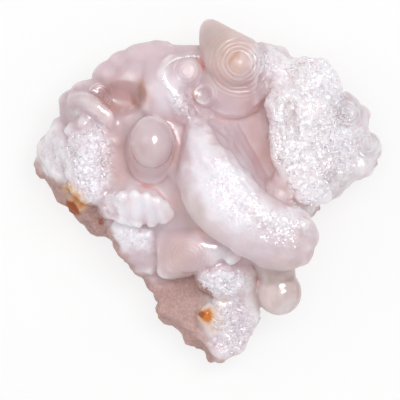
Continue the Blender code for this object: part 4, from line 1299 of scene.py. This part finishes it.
def crustTree():
    # small crystals set into the skin where it is sugary
    tree = Tree("sugar_crust", "Density")
    given = tree.given
    sugary = tree.node("GeometryNodeInputNamedAttribute", {"data_type": "FLOAT"}, {"Name": "crust"})
    spread = tree.node("GeometryNodeDistributePointsOnFaces", {"distribute_method": "RANDOM"}, {
        "Mesh": given["Geometry"], "Density": sugary * given["Density"], "Seed": given["Seed"],
    })
    crystal = tree.node("GeometryNodeMeshUVSphere", {}, {"Segments": 5, "Rings": 3, "Radius": 1.0})
    turn = tree.node("FunctionNodeRandomValue", {"data_type": "FLOAT_VECTOR"}, {
        0: (0.0, 0.0, 0.0), 1: (6.28, 6.28, 6.28), "Seed": given["Seed"],
    })
    return tree.close(spread, crystal, Rotation=turn)


def beadTree():
    # beads set side by side along a line
    tree = Tree("crest_beads", "Spacing")
    line = tree.node("GeometryNodeMeshToCurve", {}, {"Mesh": tree.given["Geometry"]})
    stops = tree.node("GeometryNodeCurveToPoints", {"mode": "LENGTH"}, {
        "Curve": line, "Length": tree.given["Spacing"],
    })
    bead = tree.node("GeometryNodeMeshIcoSphere", {}, {"Radius": 1.0, "Subdivisions": 3})
    return tree.close(stops, bead)


# Loose crystals of the crust: how many to a square metre of skin, their sizes in metres, and the span of
# sugar over which they begin.
crustGrains = {"density": 0.9e6, "smallest": 0.00008, "largest": 0.00022, "seed": 21, "sugar": (0.5, 0.95)}

stoneMesh.materials.clear()
stoneMesh.materials.append(chalcedonyFinish("pink_chalcedony_skin"))
loose = ramp(sugar, *crustGrains["sugar"]) * ramp(points[:, 2], *fades["grains"])
giveValues(stoneMesh, "crust", loose)
corners = [tuple(face.vertices) for face in stoneMesh.polygons]
skinTree = BVHTree.FromPolygons([Vector(p) for p in points.tolist()], corners)
stoneMesh.transform(Matrix.Scale(mm, 4))
flat = np.array([sugar[list(face)].mean() > crustRelief["flatFrom"] for face in corners])
stoneMesh.polygons.foreach_set("use_smooth", ~flat)
stone = addObject("grown_stone", stoneMesh)

crystalMaterial = crystalFinish("sugar_crystal")
crustMesh = crustTree().grow(stoneMesh.copy(), "sugar_crust", {
    "Density": crustGrains["density"], "Smallest": crustGrains["smallest"], "Largest": crustGrains["largest"],
    "Seed": crustGrains["seed"], "Material": crystalMaterial,
})
crust = addObject("sugar_crust", crustMesh)
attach(crust, "root")
print("crust grown,", len(crustMesh.polygons), "faces")

# Beads along the crest of the upper left: the line seen from above and the steps between its points, how
# high it runs over the skin, and their spacing and radii, in mm.
crestBeads = {
    "line": (
        (-2.2, 33.9), (-4.2, 34), (-6, 33.7), (-7.6, 33.4), (-9, 32.6), (-10.2, 31.6), (-10.9, 30.4),
        (-11.3, 28.9), (-11, 27.2), (-10, 26), (-8.9, 24.6), (-7.9, 23), (-7, 21.4),
    ),
    "spacing": 0.72,
    "smallest": 0.24,
    "largest": 0.44,
    "seed": 4,
    "steps": 6, "lift": 0.05,
}
line = easedPath([(x, y, 0.0) for x, y in crestBeads["line"]], crestBeads["steps"])
lift = Vector((0.0, 0.0, crestBeads["lift"]))
line = [(skinBelow(skinTree, x, y)[0] + lift) * mm for x, y, _ in line]
lineMesh = bpy.data.meshes.new("crest_line")
lineMesh.from_pydata(line, [(i, i + 1) for i in range(len(line) - 1)], [])
beadMesh = beadTree().grow(lineMesh, "crest_beads", {
    "Spacing": crestBeads["spacing"] * mm, "Smallest": crestBeads["smallest"] * mm,
    "Largest": crestBeads["largest"] * mm, "Seed": crestBeads["seed"], "Material": crystalMaterial,
})
beadMesh.shade_smooth()
beads = addObject("crest_beads", beadMesh)
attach(beads, "root")
print("beads set,", len(beadMesh.polygons), "faces")
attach(stone, "root")
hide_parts("pink_chalcedony")
print("stone finished")

# The floor: half its side in metres, its two greys, their grain, and the glow that keeps it pale.
paleFloor = {
    "half": 1.5, "darker": (0.21, 0.21, 0.21, 1.0), "lighter": (0.23, 0.23, 0.23, 1.0), "grain": (30, 2),
    "surface": {"Roughness": 0.9, "Emission Color": (1.0, 1.0, 1.0, 1.0), "Emission Strength": 0.73},
}
# The light from all round, the point that the lamps face, and each lamp's place, size, power and whether it
# lights the matt finish, the gloss or both.
studio = {"world": 0.54, "aim": (0.0, 0.0, 0.02)}
softboxes = {
    "key": ((0.36, 0.30, 1.08), 0.45, 2.6, "matt"),
    "fill": ((-0.65, 0.25, 0.8), 0.7, 1.2, "both"),
    "overhead": ((0.02, 0.08, 1.5), 0.8, 6.8, "matt"),
    "spark": ((0.40, 0.24, 1.08), 0.5, 18.0, "gloss"),
}
# The camera looks straight down; lengths in mm, and the photograph's and the sensor's width.
view = {
    "mmPerPixel": 0.25, "middle": (-1.875, -2.0), "height": 1200.0, "focus": 30.0,
    "pixels": 400, "sensor": 36.0,
}

half = paleFloor["half"]
floorMesh = bpy.data.meshes.new("floor")
square = [(-half, -half, 0), (half, -half, 0), (half, half, 0), (-half, half, 0)]
floorMesh.from_pydata(square, [], [(0, 1, 2, 3)])
make = Finish("pale_floor")
paper = make.blend(make.grain(*paleFloor["grain"]), paleFloor["darker"], paleFloor["lighter"])
floorMesh.materials.append(make.close(make.shader(paleFloor["surface"], {"Base Color": paper})))
floor = addObject("floor", floorMesh)

world = bpy.data.worlds.new("studio")
bpy.context.scene.world = world
world.use_nodes = True
sky = world.node_tree.nodes["Background"].inputs
sky["Color"].default_value = (1.0, 1.0, 1.0, 1.0)
sky["Strength"].default_value = studio["world"]

for name, (place, size, power, lit) in softboxes.items():
    lamp = bpy.data.lights.new(name, "AREA")
    lamp.size, lamp.energy = size, power
    box = addObject(name, lamp)
    box.location = place
    box.visible_glossy, box.visible_diffuse = lit != "matt", lit != "gloss"
    box.rotation_euler = (Vector(studio["aim"]) - Vector(place)).to_track_quat("-Z", "Y").to_euler()

camera = bpy.data.cameras.new("camera")
camera.sensor_width = view["sensor"]
camera.lens = view["sensor"] * (view["height"] - view["focus"]) / (view["pixels"] * view["mmPerPixel"])
camera.clip_end = 10.0
eye = addObject("camera", camera)
eye.location = (view["middle"][0] * mm, view["middle"][1] * mm, view["height"] * mm)
bpy.context.scene.camera = eye
bpy.context.scene.view_settings.view_transform = "Standard"
